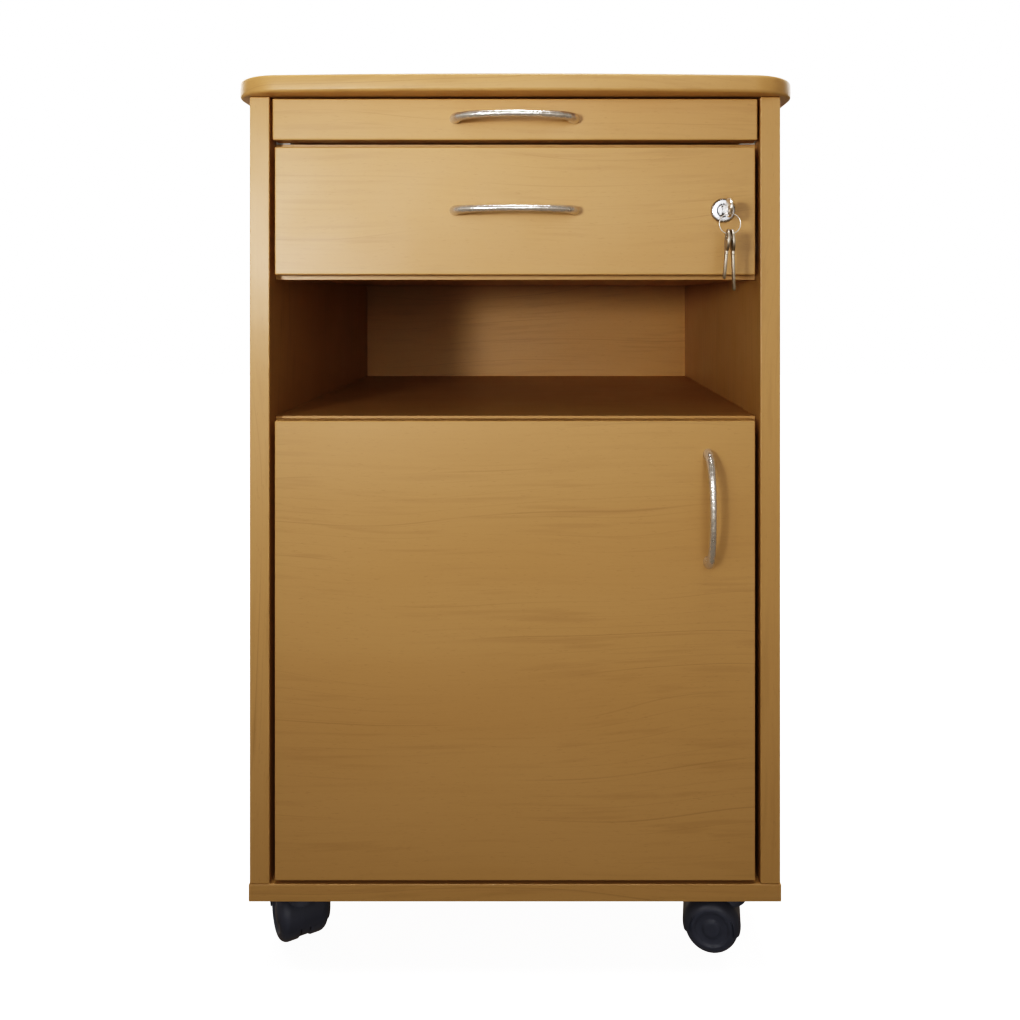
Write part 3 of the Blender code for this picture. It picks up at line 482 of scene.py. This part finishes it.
def make_screw():
    """One pan head with a cross recess, 1 unit in radius, facing +Z."""
    mesh = bmesh.new()
    rise, rim = 0.42, 0.14
    dome = [(0.0, 0.0), (0.94, 0.0), (1.0, rim * 0.5), (1.0, rim)]
    for i in range(1, 8):
        angle = math.radians(90 * i / 8)
        dome.append((0.35 + 0.65 * math.cos(angle), rim + (rise - rim) * math.sin(angle)))
    turned(mesh, [*dome, (0.35, rise), (0.0, rise)], (0, 0, 0), (0, 0, 1), steps=32)
    bmesh.ops.recalc_face_normals(mesh, faces=mesh.faces)
    data = bpy.data.meshes.new("screw")
    mesh.to_mesh(data)
    mesh.free()
    head = bpy.data.objects.new("screw", data)
    bpy.context.scene.collection.objects.link(head)
    arm, half = 0.62, 0.11
    cross = []
    for quarter in range(4):
        angle = math.radians(90 * quarter)
        for u, v in ((half, -half), (arm, -half), (arm, half)):
            across = u * math.cos(angle) - v * math.sin(angle)
            cross.append((across, u * math.sin(angle) + v * math.cos(angle)))
    helper = bmesh.new()
    prism(helper, cross, upward, rise * 0.4, rise + 0.1)
    cut(head, helper)
    result = head.data
    bpy.data.objects.remove(head)
    return result


SCREW = make_screw()


def screws(name, places, outward, body, radius=0.0038):
    """Equal zinc screws, all facing the same way, as one piece."""
    turn = Vector((0, 0, 1)).rotation_difference(Vector(outward)).to_matrix().to_4x4()
    mesh = bmesh.new()
    for place in places:
        before = len(mesh.verts)
        mesh.from_mesh(SCREW)
        mesh.verts.ensure_lookup_table()
        move = Matrix.Translation(Vector(place)) @ turn @ Matrix.Scale(radius, 4)
        bmesh.ops.transform(mesh, matrix=move, verts=mesh.verts[before:])
    piece(name, mesh, "caster_steel", body)


def middle(node):
    """The middle of a CAD node's box."""
    low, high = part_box(node)
    return (low + high) / 2


# ---- top ------------------------------------------------------------------------
TOP_CORNER = 0.045  # radius of the front corners
TOP_BOW = 0.006  # how far the front edge bows out in its middle
TOP_EDGE = 0.003  # rounding of the upper and lower edges


def make_top():
    """The top board: square at the back, bowed at the front, with rounded corners."""
    low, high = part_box("top_panel")
    reach = high.x - TOP_CORNER
    corner_y = low.y + TOP_BOW + TOP_CORNER
    outline = [(low.x, high.y), (high.x, high.y)]
    outline += arc((reach, corner_y), TOP_CORNER, 0, -90, 20)[:-1]
    steps = 60
    for i in range(steps + 1):
        x = reach - 2 * reach * i / steps
        outline.append((x, low.y + TOP_BOW * (x / reach) ** 2))
    outline += arc((-reach, corner_y), TOP_CORNER, -90, -180, 20)[1:]
    mesh = bmesh.new()
    prism(mesh, outline, upward, low.z, high.z)
    round_edges(mesh, TOP_EDGE, 5)
    facing = wood("top_facing", BEECH_PALE, BEECH_DARK, "X", 40)
    piece("top_board", mesh, "beech", "cabinet", ("top_panel",), material=facing)


# ---- handles ----------------------------------------------------------------------
HANDLE_FOOT = (0.011, 0.0088)  # section at the ends, along the handle and across it
HANDLE_WAIST = 0.0056  # section in the middle


def make_handle(node, upright):
    """A bow of round rod, thick at its two feet and slim in the middle."""
    low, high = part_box(node)
    centre = (low + high) / 2
    length = high.z - low.z if upright else high.x - low.x
    reach = (length - HANDLE_FOOT[0]) / 2
    rise = FRONT - low.y - HANDLE_WAIST / 2 - FIT
    steps, sides = 96, 32
    mesh = bmesh.new()
    rings = []
    for i in range(steps + 1):
        angle = math.pi * i / steps
        swell = math.sin(angle)
        slope = Vector((reach * swell, rise * math.cos(angle))).normalized()
        if i in (0, steps):
            slope = Vector((0.0, 1.0 if i == 0 else -1.0))
        foot = 1 - swell**1.2
        wide, tall = ((HANDLE_WAIST + (size - HANDLE_WAIST) * foot) / 2 for size in HANDLE_FOOT)
        spot = Vector((-reach * math.cos(angle), -FIT - rise * swell**0.85, 0.0))
        ring = []
        for k in range(sides):
            turn = 2 * math.pi * k / sides
            side = Vector((slope.y, slope.x, 0.0)) * wide * math.cos(turn)
            point = spot + side + Vector((0.0, 0.0, tall * math.sin(turn)))
            if upright:
                point = Vector((point.z, point.y, -point.x))
            ring.append(mesh.verts.new(Vector((centre.x, FRONT, centre.z)) + point))
        rings.append(ring)
    join_rings(mesh, rings)
    body = "door" if upright else node.split("_")[0]
    piece(node + "_bow", mesh, "chrome", body, (node,))


# ---- lock ---------------------------------------------------------------------------
LOCK = middle("lock_plug")
LOCK.y = FRONT
PLUG_RADIUS = 0.0055
BARREL_RADIUS = 0.0080
ROSETTE_RADIUS = 0.011
CASE_WALL = 0.0015
CASE_HALF_WIDTH = 0.0085
CASE_FRONT = 0.0183  # behind the front plane
BARREL_END = -CASE_FRONT - 0.0008  # lengths along OUTWARD from the front plane
PLUG_END = -0.0215
ROSETTE_EDGE = 0.0022  # rounding of the rosette's rim
CRANK_REACH = 0.0040  # from the lock's axis to the pin that moves the bolt
CRANK_ANGLE = math.radians(-45)
OUTWARD = (0, -1, 0)


def make_lock():
    """The rosette with its barrel, the hollow case behind it, and the cylinder."""
    low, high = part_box("lock_housing")
    case_low = Vector((LOCK.x - CASE_HALF_WIDTH, FRONT + CASE_FRONT, low.z))
    case_high = Vector((LOCK.x + CASE_HALF_WIDTH, high.y, high.z))
    bore = PLUG_RADIUS + FIT
    face = FRONT - low.y  # how far the rosette stands out
    mesh = bmesh.new()
    profile = [(bore, BARREL_END), (bore, face - 0.0005), (bore + 0.0005, face)]
    profile += arc((ROSETTE_RADIUS - ROSETTE_EDGE, face - ROSETTE_EDGE), ROSETTE_EDGE, 90, 0, 6)
    profile += [(ROSETTE_RADIUS, FIT), (BARREL_RADIUS, FIT), (BARREL_RADIUS, BARREL_END)]
    turned(mesh, profile, LOCK, OUTWARD, steps=64, closed=True)
    piece("lock_rosette", mesh, "lock_metal", "drawer", ("lock_housing",))

    mesh = bmesh.new()
    block(mesh, case_low, case_high, bevel=0.0008)
    case = piece("lock_case", mesh, "lock_metal", "drawer")
    hollow = bmesh.new()
    wall = Vector((CASE_WALL, CASE_WALL, CASE_WALL))
    open_top = Vector((0, 0, 2.5 * CASE_WALL))
    block(hollow, case_low + wall, case_high - wall + open_top)
    cut(case, hollow)
    hole = bmesh.new()
    depth = -CASE_FRONT - CASE_WALL - 0.001
    ends = [(0.0, depth), (BARREL_RADIUS, depth), (BARREL_RADIUS, 0.0), (0.0, 0.0)]
    turned(hole, ends, LOCK, OUTWARD, steps=64)
    cut(case, hole)

    plug_low, plug_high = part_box("lock_plug")
    mesh = bmesh.new()
    face = FRONT - plug_low.y
    profile = [(0.0, PLUG_END), (PLUG_RADIUS, PLUG_END), (PLUG_RADIUS, face - 0.0006)]
    profile += [(PLUG_RADIUS - 0.0006, face), (0.0042, face)]
    profile += [(0.0039, face - 0.0003), (0.0, face - 0.0003)]
    turned(mesh, profile, LOCK, OUTWARD, steps=64)
    crank = LOCK + CRANK_REACH * Vector((math.cos(CRANK_ANGLE), 0, math.sin(CRANK_ANGLE)))
    end = FRONT - plug_high.y
    root = PLUG_END + 0.001
    pin = [(0.0, end), (0.0009, end), (0.0012, end + 0.0003), (0.0012, root), (0.0, root)]
    turned(mesh, pin, crank, OUTWARD, steps=24)
    plug = piece("lock_cylinder", mesh, "lock_metal", "lock_plug", ("lock_plug",))
    keyway = bmesh.new()
    half = Vector((0.0014, 0, 0.0042))
    block(keyway, LOCK - half - Vector((0, 0.006, 0)), LOCK + half + Vector((0, 0.0125, 0)))
    cut(plug, keyway)


def key_outline(bow_length, bow_height, blade, height, teeth):
    """Side view of a key: its bow round the origin, its blade along +u."""
    a, b = bow_length / 2, bow_height / 2
    start = math.degrees(math.asin(height / 2 / b))
    outline = []
    for i in range(49):
        angle = math.radians(start + (360 - 2 * start) * i / 48)
        outline.append((a * math.cos(angle), b * math.sin(angle)))
    half = height / 2
    collar, tip = a + 0.0022, a + blade
    outline += [(collar, -half), (collar + 0.0004, -half + 0.0005), (tip - 0.0022, -half + 0.0005)]
    outline += [(tip, -half + 0.0024)]
    edge = half - 0.0004
    pitch = 0.0028
    for i in range(teeth):
        depth = 0.0010 + 0.0008 * abs(math.sin(2.1 * i + 0.7))
        root = tip - 0.0024 - i * pitch
        outline += [(root, edge), (root - 0.0009, edge - depth), (root - 0.0015, edge - depth)]
    outline += [(tip - 0.0030 - teeth * pitch, edge), (collar + 0.0004, edge), (collar, half)]
    return outline


KEY_THICK = 0.0022


def make_key(name, body, node, place, hole, sizes, lean=0.0):
    """A flat key, square to X, with a round hole given as its centre and radius.

    place turns the outline into x, y and z; sizes go to key_outline; lean is in
    degrees, about the hole.
    """
    mesh = bmesh.new()
    prism(mesh, key_outline(*sizes), place, hole[0].x - KEY_THICK / 2, hole[0].x + KEY_THICK / 2)
    round_edges(mesh, 0.00022, 2, angle=60.0)
    bore = bmesh.new()
    reach = 0.004
    ends = [(0.0, -reach), (hole[1], -reach), (hole[1], reach), (0.0, reach)]
    turned(bore, ends, hole[0], (1, 0, 0), steps=40)
    turn = Matrix.Rotation(math.radians(lean), 3, "Y")
    for part in (mesh, bore):
        bmesh.ops.rotate(part, cent=hole[0], matrix=turn, verts=part.verts)
    # the spare keys take the darker nickel, whose darkness is painted shade
    finish = "key_steel" if node == "key_in_lock" else "key_brass"
    key = piece(name, mesh, finish, body, (node,))
    cut(key, bore)


RING_RADIUS = 0.0092
RING_WIRE = 0.00040  # radius of the wire
KEY_BOW = (0.0255, 0.0170)  # length and height of the bow of the key in the lock
SPARE_BOW = (0.0200, 0.0165)
SPARE_HOLE = 0.0035  # radius
SPARE_APART = 0.0019  # from the ring's middle to each spare key
SPARE_KEYS = (  # side, word, blade's length, lean in degrees, teeth
    (-1, "short", 0.0235, 5.0, 6),
    (1, "long", 0.0335, 2.0, 9),
)


def make_keys():
    """The key in the lock, the ring through its bow, and two spare keys on the ring."""
    low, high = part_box("key_in_lock")
    bow_centre = low.y + KEY_BOW[0] / 2
    blade = high.y - low.y - KEY_BOW[0]
    hang = middle("key_ring")
    hole = Vector((LOCK.x, hang.y, LOCK.z - 0.0025))

    def pointing_in(u, v, w):
        return (w, bow_centre + u, LOCK.z + v)

    sizes = (*KEY_BOW, blade, 0.0074, 0)
    make_key("key_turned_in", "lock_plug", "key_in_lock", pointing_in, (hole, 0.0040), sizes)
    make_split_ring(hang)

    # the holes' upper edges hang just above the ring's lowest wire
    hole_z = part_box("key_ring")[0].z + 2 * 0.0008 + 0.0009 - SPARE_HOLE
    bow_z = hole_z - SPARE_BOW[0] / 2 + 0.0062

    def pointing_down(u, v, w):
        return (w, hang.y + v, bow_z - u)

    for side, word, blade, lean, teeth in SPARE_KEYS:
        hole = (Vector((LOCK.x + side * SPARE_APART, hang.y, hole_z)), SPARE_HOLE)
        sizes = (*SPARE_BOW, blade, 0.0070, teeth)
        node = "spare_key_" + word
        make_key("spare_" + word, "spare_keys", node, pointing_down, hole, sizes, -lean * side)


def make_split_ring(centre):
    """Nearly two turns of wire, side by side, that step across where they meet."""
    steps, sides, turns = 200, 12, 1.84
    mesh = bmesh.new()
    rings = []
    for i in range(steps + 1):
        turn = (i / steps - 0.5) * turns  # 0 in the middle of the step across
        across = max(-1.0, min(1.0, turn / 0.07))
        across = across * (1.5 - 0.5 * across * across)
        angle = 2 * math.pi * turn + math.radians(35)
        out = Vector((math.cos(angle), 0.0, math.sin(angle)))
        spot = centre + out * RING_RADIUS + Vector((0.0, across * RING_WIRE, 0.0))
        ring = []
        for k in range(sides):
            a = 2 * math.pi * k / sides
            offset = out * math.cos(a) + Vector((0.0, math.sin(a), 0.0))
            ring.append(mesh.verts.new(spot + offset * RING_WIRE * 0.97))
        rings.append(ring)
    join_rings(mesh, rings)
    piece("split_ring", mesh, "key_steel", "key_ring", ("key_ring",))


# ---- hinges and rollers -----------------------------------------------------------------
CUP_WALL = 0.0008
CUP_RIM = 0.0172  # behind the front plane
CUP_TAB_REACH = 0.0265  # from a cup's middle to the round end of a screw tab
CUP_TAB_HALF = 0.0055


def make_hinges():
    """Drawn cups with two screw tabs; arms and links keep their CAD shapes."""
    for word in ("lower", "upper"):
        node = "hinge_cup_" + word
        low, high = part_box(node)
        centre = Vector(((low.x + high.x) / 2, FRONT, (low.z + high.z) / 2))
        radius = (high.x - low.x) / 2
        floor, rim = low.y - FRONT, CUP_RIM
        mesh = bmesh.new()
        corner = 0.002
        spot = (radius - corner, floor + corner)
        outer = arc(spot, corner, -90, 0, 6)
        inner = arc(spot, corner - CUP_WALL, 0, -90, 6)
        lip = [(radius, rim - 0.0003), (radius - 0.0003, rim), (radius - CUP_WALL + 0.0002, rim)]
        profile = [(0.0, floor), *outer, *lip, *inner, (0.0, floor + CUP_WALL)]
        turned(mesh, profile, centre, (0, 1, 0), steps=72)
        back = high.y
        for way in (-1, 1):
            ends = sorted((centre.z + way * 0.0186, centre.z + way * 0.0198))
            riser_low = (centre.x - 0.0035, FRONT + rim - 0.001, ends[0])
            riser_high = (centre.x + 0.0035, back - 0.0001, ends[1])
            block(mesh, riser_low, riser_high, bevel=0.0002)
            tab = [(-CUP_TAB_HALF, 0.0192), (CUP_TAB_HALF, 0.0192)]
            tab += arc((0.0, CUP_TAB_REACH), CUP_TAB_HALF, 0, 180, 16)

            def on_door(u, v, w, centre=centre, way=way):
                return (centre.x + u, w, centre.z + way * v)

            prism(mesh, tab, on_door, FRONT_BACK + FIT, back)
        piece("cup_" + word, mesh, "hinge_steel", "door", (node,))
        places = [(centre.x, back, centre.z + way * 0.0262) for way in (-1, 1)]
        screws(f"cup_screws_{word}", places, (0, 1, 0), "door", radius=0.0034)


def make_rollers():
    """Nylon rollers with a hub, on the tracks and on the drawer's runners."""
    for kind in ("track", "drawer"):
        for word in ("left", "right"):
            node = f"{kind}_roller_{word}"
            low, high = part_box(node)
            half = (high.x - low.x) / 2
            radius, bore = (high.z - low.z) / 2, 0.0021
            hub = [(bore, -half), (0.0036, -half), (0.0039, -half + 0.0004)]
            profile = [*hub, (radius - 0.0010, -half + 0.0004)]
            profile += arc((radius - 0.0006, -half + 0.0010), 0.0006, -90, 0, 4)
            profile = [(min(r, radius), h) for r, h in profile]
            both = profile + [(r, -h) for r, h in reversed(profile)]
            mesh = bmesh.new()
            turned(mesh, both, (low + high) / 2, (1, 0, 0), steps=56, closed=True)
            piece(f"{kind}_nylon_roller_{word}", mesh, "white_plastic", f"{kind}_rollers", (node,))


# ---- casters --------------------------------------------------------------------------
WHEEL_RADIUS = 0.025
WHEEL_SHOULDER = 0.0085  # rounding of a wheel's outer edge
WHEEL_OUTER = 0.0226  # from the caster's middle to a wheel's outer face
WHEEL_INNER = 0.0045  # from there to its inner face
HOOD_GAP = 0.0006  # between the wheels and the hood
HOOD_START, HOOD_SWEEP = -12, 204  # degrees round the axle, from the trailing side
NECK_TOP = 0.0605  # above the floor
NECK_BORE = 0.0053  # radius round the plate's stem
AXLE_HALF, AXLE_RADIUS = 0.0195, 0.003


def shoulder(gap, start, end, steps):
    """The wheel's round shoulder, moved out by a gap: (radius, width) points."""
    centre = (WHEEL_RADIUS - WHEEL_SHOULDER, WHEEL_OUTER - WHEEL_SHOULDER)
    return arc(centre, WHEEL_SHOULDER + gap, start, end, steps)


def make_caster(word):
    """Twin wheels under a rounded hood, whose neck turns on the plate's stem."""
    swivel = Vector(JOINTS["swivel_" + word]["pos_m"])
    centre = Vector(JOINTS[f"wheels_{word}_spin"]["pos_m"])
    axle = Vector(JOINTS[f"wheels_{word}_spin"]["axis"]).normalized()
    forward = Vector((centre.x - swivel.x, centre.y - swivel.y, 0.0)).normalized()
    up = Vector((0, 0, 1))

    mesh = bmesh.new()
    rings = []
    steps = 90
    for i in range(steps + 1):
        along = i / steps
        angle = math.radians(HOOD_START + HOOD_SWEEP * along)
        thick = 0.0009 + 0.0011 * min(1.0, 6 * along * (1 - along))  # thinner at both ends
        outer, inner = shoulder(HOOD_GAP + thick, 68, 0, 9), shoulder(HOOD_GAP, 0, 68, 9)
        section = [(w, r) for r, w in outer] + [(-w, r) for r, w in reversed(outer)]
        section += [(-w, r) for r, w in reversed(inner)] + [(w, r) for r, w in inner]
        out = forward * math.cos(angle) + up * math.sin(angle)
        rings.append([mesh.verts.new(centre + axle * u + out * r) for u, r in section])
    join_rings(mesh, rings)

    def between_wheels(u, v, w):
        return tuple(centre + forward * u + up * v + axle * w)

    web = WHEEL_INNER - HOOD_GAP
    outline = arc((0, 0), WHEEL_RADIUS + 0.001, 2, 178, 48)
    outline += arc((0, 0), WHEEL_RADIUS - 0.0012, 185, 355, 40)
    prism(mesh, outline, between_wheels, -web, web)
    pin = [(0.0, -AXLE_HALF), (AXLE_RADIUS, -AXLE_HALF), (AXLE_RADIUS, AXLE_HALF), (0.0, AXLE_HALF)]
    turned(mesh, pin, centre, axle, steps=32)
    collar = [(NECK_BORE, 0.0440), (0.0160, 0.0440), (0.0150, 0.0500), (0.0130, 0.0555)]
    collar += [(0.0110, 0.0590), (0.0100, NECK_TOP - 0.0004), (0.0096, NECK_TOP)]
    collar += [(NECK_BORE, NECK_TOP)]
    turned(mesh, collar, (swivel.x, swivel.y, 0.0), (0, 0, 1), steps=56, closed=True)
    piece("hood_" + word, mesh, "caster_hood", "caster_" + word, ("caster_hood_" + word,))

    for side, letter in ((-1, "a"), (1, "b")):
        make_wheel(f"wheel_{word}_{letter}", "wheels_" + word, centre, axle * side)


def make_wheel(node, body, centre, outward):
    """A wheel with a round shoulder, a dished face and a cap over the axle."""
    bore, depth = 0.0033, WHEEL_INNER + 0.0155
    edge = 0.0020  # rounding of the inner edge
    profile = [(0.0, depth), (bore, depth), (bore, WHEEL_INNER), (WHEEL_RADIUS - edge, WHEEL_INNER)]
    inner_edge = arc((WHEEL_INNER + edge, WHEEL_RADIUS - edge), edge, 165, 90, 5)
    profile += [(r, h) for h, r in inner_edge]
    profile += shoulder(0.0, 0, 86, 18)
    face = WHEEL_OUTER
    profile += [(0.0158, face - 0.0003), (0.0150, face - 0.0012), (0.0138, face - 0.0016)]
    profile += [(0.0095, face - 0.0018), (0.0086, face - 0.0016), (0.0080, face - 0.0009)]
    profile += [(0.0070, face - 0.0004), (0.0040, face - 0.0001), (0.0, face)]
    mesh = bmesh.new()
    turned(mesh, profile, centre, outward, steps=80)
    piece(node + "_tyre", mesh, "caster_wheel", body, (node,))


# ---- fasteners and small fittings ---------------------------------------------------------
BACK_SCREW_INSET = 0.012  # from the back panel's edges
TRACK_SCREW_Z = 0.6600
TRACK_WEB = 0.0015  # from a side board to the face under the track's screw heads
ARM_SCREW_FACE = 0.0029  # from the left side board to the face under the arm's screw heads
ARM_SCREW_Y = FRONT + 0.0645
ARM_SCREW_APART = 0.0190  # above and below the arm's middle
PLATE_SCREW_INSET = 0.005
PLATE_THICK = 0.0025
PIN_BELOW_SHELF = 0.0045  # from the shelf's underside down to a pin's middle
POLE_APART = 0.007  # from the catch's middle to each magnet pole


def make_fasteners():
    """Screws, shelf pins, the catch's steel plate and its magnet's poles."""
    rear = (0, 1, 0)
    inset = HANDLE_FOOT[0] / 2
    for node in ("tray_handle", "drawer_handle"):
        low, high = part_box(node)
        ends = [(x, FRONT_BACK, middle(node).z) for x in (low.x + inset, high.x - inset)]
        screws(node + "_screws", ends, rear, node.split("_")[0])
    low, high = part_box("door_handle")
    across = middle("door_handle").x
    ends = [(across, FRONT_BACK, z) for z in (low.z + inset, high.z - inset)]
    screws("door_handle_screws", ends, rear, "door")

    low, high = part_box("back_panel")
    inset = BACK_SCREW_INSET
    levels = spread(low.z + 0.03, high.z - 0.03, 5)
    places = [(x, high.y, z) for x in (low.x + inset, high.x - inset) for z in levels]
    places += [(x, high.y, z) for x in (-0.07, 0.07) for z in (low.z + inset, high.z - inset)]
    screws("back_panel_screws", places, rear, "cabinet", radius=0.0032)

    for word, side in (("left", -1), ("right", 1)):
        low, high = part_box("drawer_track_" + word)
        web = side * (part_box("side_panel_right")[0].x - TRACK_WEB)
        places = [(web, y, TRACK_SCREW_Z) for y in spread(low.y + 0.06, high.y - 0.05, 3)]
        screws(f"track_screws_{word}", places, (-side, 0, 0), "cabinet", radius=0.0026)

    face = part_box("side_panel_left")[1].x + ARM_SCREW_FACE
    for word in ("lower", "upper"):
        level = middle("hinge_arm_" + word).z
        places = [(face, ARM_SCREW_Y, level + way * ARM_SCREW_APART) for way in (-1, 1)]
        screws(f"arm_screws_{word}", places, (1, 0, 0), "cabinet", radius=0.0036)

    inset = PLATE_SCREW_INSET
    for word in ("front_left", "front_right", "rear_left", "rear_right"):
        low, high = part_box("caster_plate_" + word)
        under = high.z - PLATE_THICK
        rows = (low.y + inset, high.y - inset)
        places = [(x, y, under) for x in (low.x + inset, high.x - inset) for y in rows]
        screws("plate_screws_" + word, places, (0, 0, -1), "cabinet", radius=0.0034)

    make_shelf_pins()
    make_catch_steel()


def make_shelf_pins():
    """Two pins in each side board, under the cupboard's shelf."""
    low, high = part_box("cupboard_shelf")
    pin = [(0.0, 0.0), (0.0042, 0.0), (0.0042, 0.0012), (0.0025, 0.0014)]
    pin += [(0.0025, 0.0085), (0.0021, 0.0090), (0.0, 0.0090)]
    for word, wall, way in (("left", low.x - FIT, 1), ("right", high.x + FIT, -1)):
        mesh = bmesh.new()
        for y in (low.y + 0.05, high.y - 0.05):
            turned(mesh, pin, (wall, y, low.z - PIN_BELOW_SHELF), (way, 0, 0), steps=32)
        piece("shelf_pins_" + word, mesh, "caster_steel", "cabinet")


def make_catch_steel():
    """The plate on the door, and the two poles on the catch that pull it."""
    low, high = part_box("door_catch")
    mesh = bmesh.new()
    plate_low = (low.x - 0.002, FRONT_BACK + 0.0001, low.z + 0.001)
    plate_high = (high.x + 0.002, FRONT_BACK + 0.0011, high.z - 0.002)
    block(mesh, plate_low, plate_high, bevel=0.0003)
    piece("catch_plate", mesh, "caster_steel", "door")
    mesh = bmesh.new()
    across = middle("door_catch").x
    for x in (across - POLE_APART, across + POLE_APART):
        pole_low = (x - 0.0022, low.y - 0.0003, low.z + 0.003)
        pole_high = (x + 0.0022, low.y + 0.012, high.z - 0.003)
        block(mesh, pole_low, pole_high, bevel=0.0004)
    piece("catch_magnet_poles", mesh, "caster_steel", "cabinet")


def spread(low, high, count):
    """Evenly spread numbers, both ends included."""
    return [low + (high - low) * i / (count - 1) for i in range(count)]


def dress_fittings():
    """Give the CAD nodes that stay, apart from the boards, their finishes."""
    slots = {part["node"]: part["material_slot"] for part in frame["record"]["subparts"]}
    for name, thing in NODES.items():
        if slots[name] in FINISHES:
            dress(thing, FINISHES[slots[name]])


# ---- camera -------------------------------------------------------------------------------
def set_camera():
    """A level camera in front of the niche, with a shifted lens."""
    camera = bpy.data.cameras.new("camera")
    camera.sensor_fit = "VERTICAL"  # a 24 x 36 mm camera held upright
    camera.sensor_height = 36.0
    camera.sensor_width = 24.0
    camera.lens = 31.5
    camera.shift_x = -0.0363
    camera.shift_y = -0.2088
    thing = bpy.data.objects.new("camera", camera)
    thing.location = (0.029, FRONT - 0.807, 0.613)
    thing.rotation_euler = (math.radians(90), 0.0, 0.0)
    bpy.context.scene.collection.objects.link(thing)
    bpy.context.scene.camera = thing


set_camera()
dress_boards()
dress_fittings()
make_top()
for node in ("tray_handle", "drawer_handle"):
    make_handle(node, upright=False)
make_handle("door_handle", upright=True)
make_lock()
make_keys()
make_hinges()
make_rollers()
for word in ("front_left", "front_right", "rear_left", "rear_right"):
    make_caster(word)
make_fasteners()


# ---- floor and light ----------------------------------------------------------
def area_light(name, place, aim, size, power, spread=180.0):
    """A round lamp: size in metres, power in watts, spread in degrees."""
    data = bpy.data.lights.new(name, "AREA")
    data.shape = "DISK"
    data.size = size
    data.energy = power
    data.spread = math.radians(spread)
    light = bpy.data.objects.new(name, data)
    light.location = place
    light.rotation_mode = "QUATERNION"
    light.rotation_quaternion = (Vector(aim) - Vector(place)).to_track_quat("-Z", "Y")
    bpy.context.scene.collection.objects.link(light)


AMBIENT = 0.165  # strength of the soft light from all round


def set_lights():
    """Small lamps near the front for its uneven glow, and broad ones for the rest."""
    fronts = (-0.05, FRONT, 0.82)
    area_light("key_light", (-0.75, FRONT - 1.60, 0.72), (-0.05, FRONT, 0.85), 0.22, 0.93, spread=60.0)
    area_light("near_light", (-0.485, FRONT - 0.80, 0.671), fronts, 0.16, 0.21, spread=80.0)
    area_light("front_fill", (0.1, FRONT - 2.2, 0.9), (0.0, FRONT, 0.62), 0.9, 0.70, spread=60.0)
    area_light("upper_fill", (0.5, FRONT - 2.0, 1.6), (0.0, FRONT, 0.70), 0.9, 0.27, spread=60.0)
    area_light("overhead", (0.0, -0.2, 3.0), (0.0, -0.2, 0.0), 3.0, 12.0, spread=25.0)
    for side in (-1, 1):
        area_light("back_light", (side * 1.8, 1.6, 1.5), (0.0, 0.0, 0.4), 1.4, 16.0)


def set_world():
    """White to the camera, an even soft light to matt surfaces, and to gloss a
    warm room with a wide, low window in front of the cabinet and behind it."""
    world = bpy.data.worlds.new("studio")
    bpy.context.scene.world = world
    world.use_nodes = True
    nodes = Nodes(world.node_tree)
    direction = nodes.tree.nodes.new("ShaderNodeTexCoord").outputs["Generated"]
    offside = nodes.length(nodes.stretched(direction, (0.40, 0.0, 1.0), shift=(0.04, 0.0, -0.05)))
    mottled = nodes.calc("MULTIPLY", nodes.noise(direction, 6.0, 1.0), 0.7)
    outside = nodes.span(nodes.calc("ADD", mottled, offside), 0.34, 1.00)
    colour = nodes.blend(outside, (1.0, 0.98, 0.95), (1.0, 0.74, 0.46))
    level = nodes.span(outside, 0.0, 1.0, 0.58, 0.13)

    paths = nodes.tree.nodes.new("ShaderNodeLightPath")
    gloss, seen = paths.outputs["Is Glossy Ray"], paths.outputs["Is Camera Ray"]
    white = (1.0, 1.0, 1.0)
    background = nodes.tree.nodes["Background"]
    nodes.give(background.inputs["Color"], nodes.blend(gloss, white, colour))
    strength = nodes.span(gloss, 0.0, 1.0, AMBIENT, level)
    nodes.give(background.inputs["Strength"], nodes.span(seen, 0.0, 1.0, strength, 1.0))


def set_floor():
    """A wide pale floor, which gives off most of the light that it shows."""
    mesh = bmesh.new()
    bmesh.ops.create_grid(mesh, x_segments=40, y_segments=40, size=6.0)
    data = bpy.data.meshes.new("floor")
    mesh.to_mesh(data)
    mesh.free()
    shader = Shader("floor_paint", 0.7)
    cloud = shader.noise(shader.place, 3.0, 3.0)
    shader.set("Base Color", shader.blend(cloud, (0.30, 0.30, 0.30), (0.27, 0.27, 0.27)))
    far = shader.length(shader.place)
    shader.set("Emission Color", (1.0, 1.0, 1.0))
    shader.set("Emission Strength", shader.span(far, 0.2, 2.0, 0.90, 1.05))
    data.materials.append(shader.material)
    floor = bpy.data.objects.new("floor", data)
    bpy.context.scene.collection.objects.link(floor)
    floor.visible_diffuse = False  # its bounce would flatten the light on the fronts
    floor.visible_glossy = False


TONE_POWER = 1.6
TONE_KNEE = 0.25
TONE_LEVELS = (0.02, 0.05, 0.1, 0.18, 0.28, 0.4, 0.55, 0.75)  # between black and white


def set_tone():
    """A camera's tone curve: firm in the shadows and soft in the highlights."""
    view = bpy.context.scene.view_settings
    view.view_transform = "Standard"
    view.use_curve_mapping = True
    mapping = view.curve_mapping
    curve = mapping.curves[3]  # the curve for all three colours together
    for level in TONE_LEVELS:
        bent = level**TONE_POWER
        curve.points.new(level, bent * (1 + TONE_KNEE) / (bent + TONE_KNEE))
    mapping.update()


set_lights()
set_world()
set_floor()
set_tone()
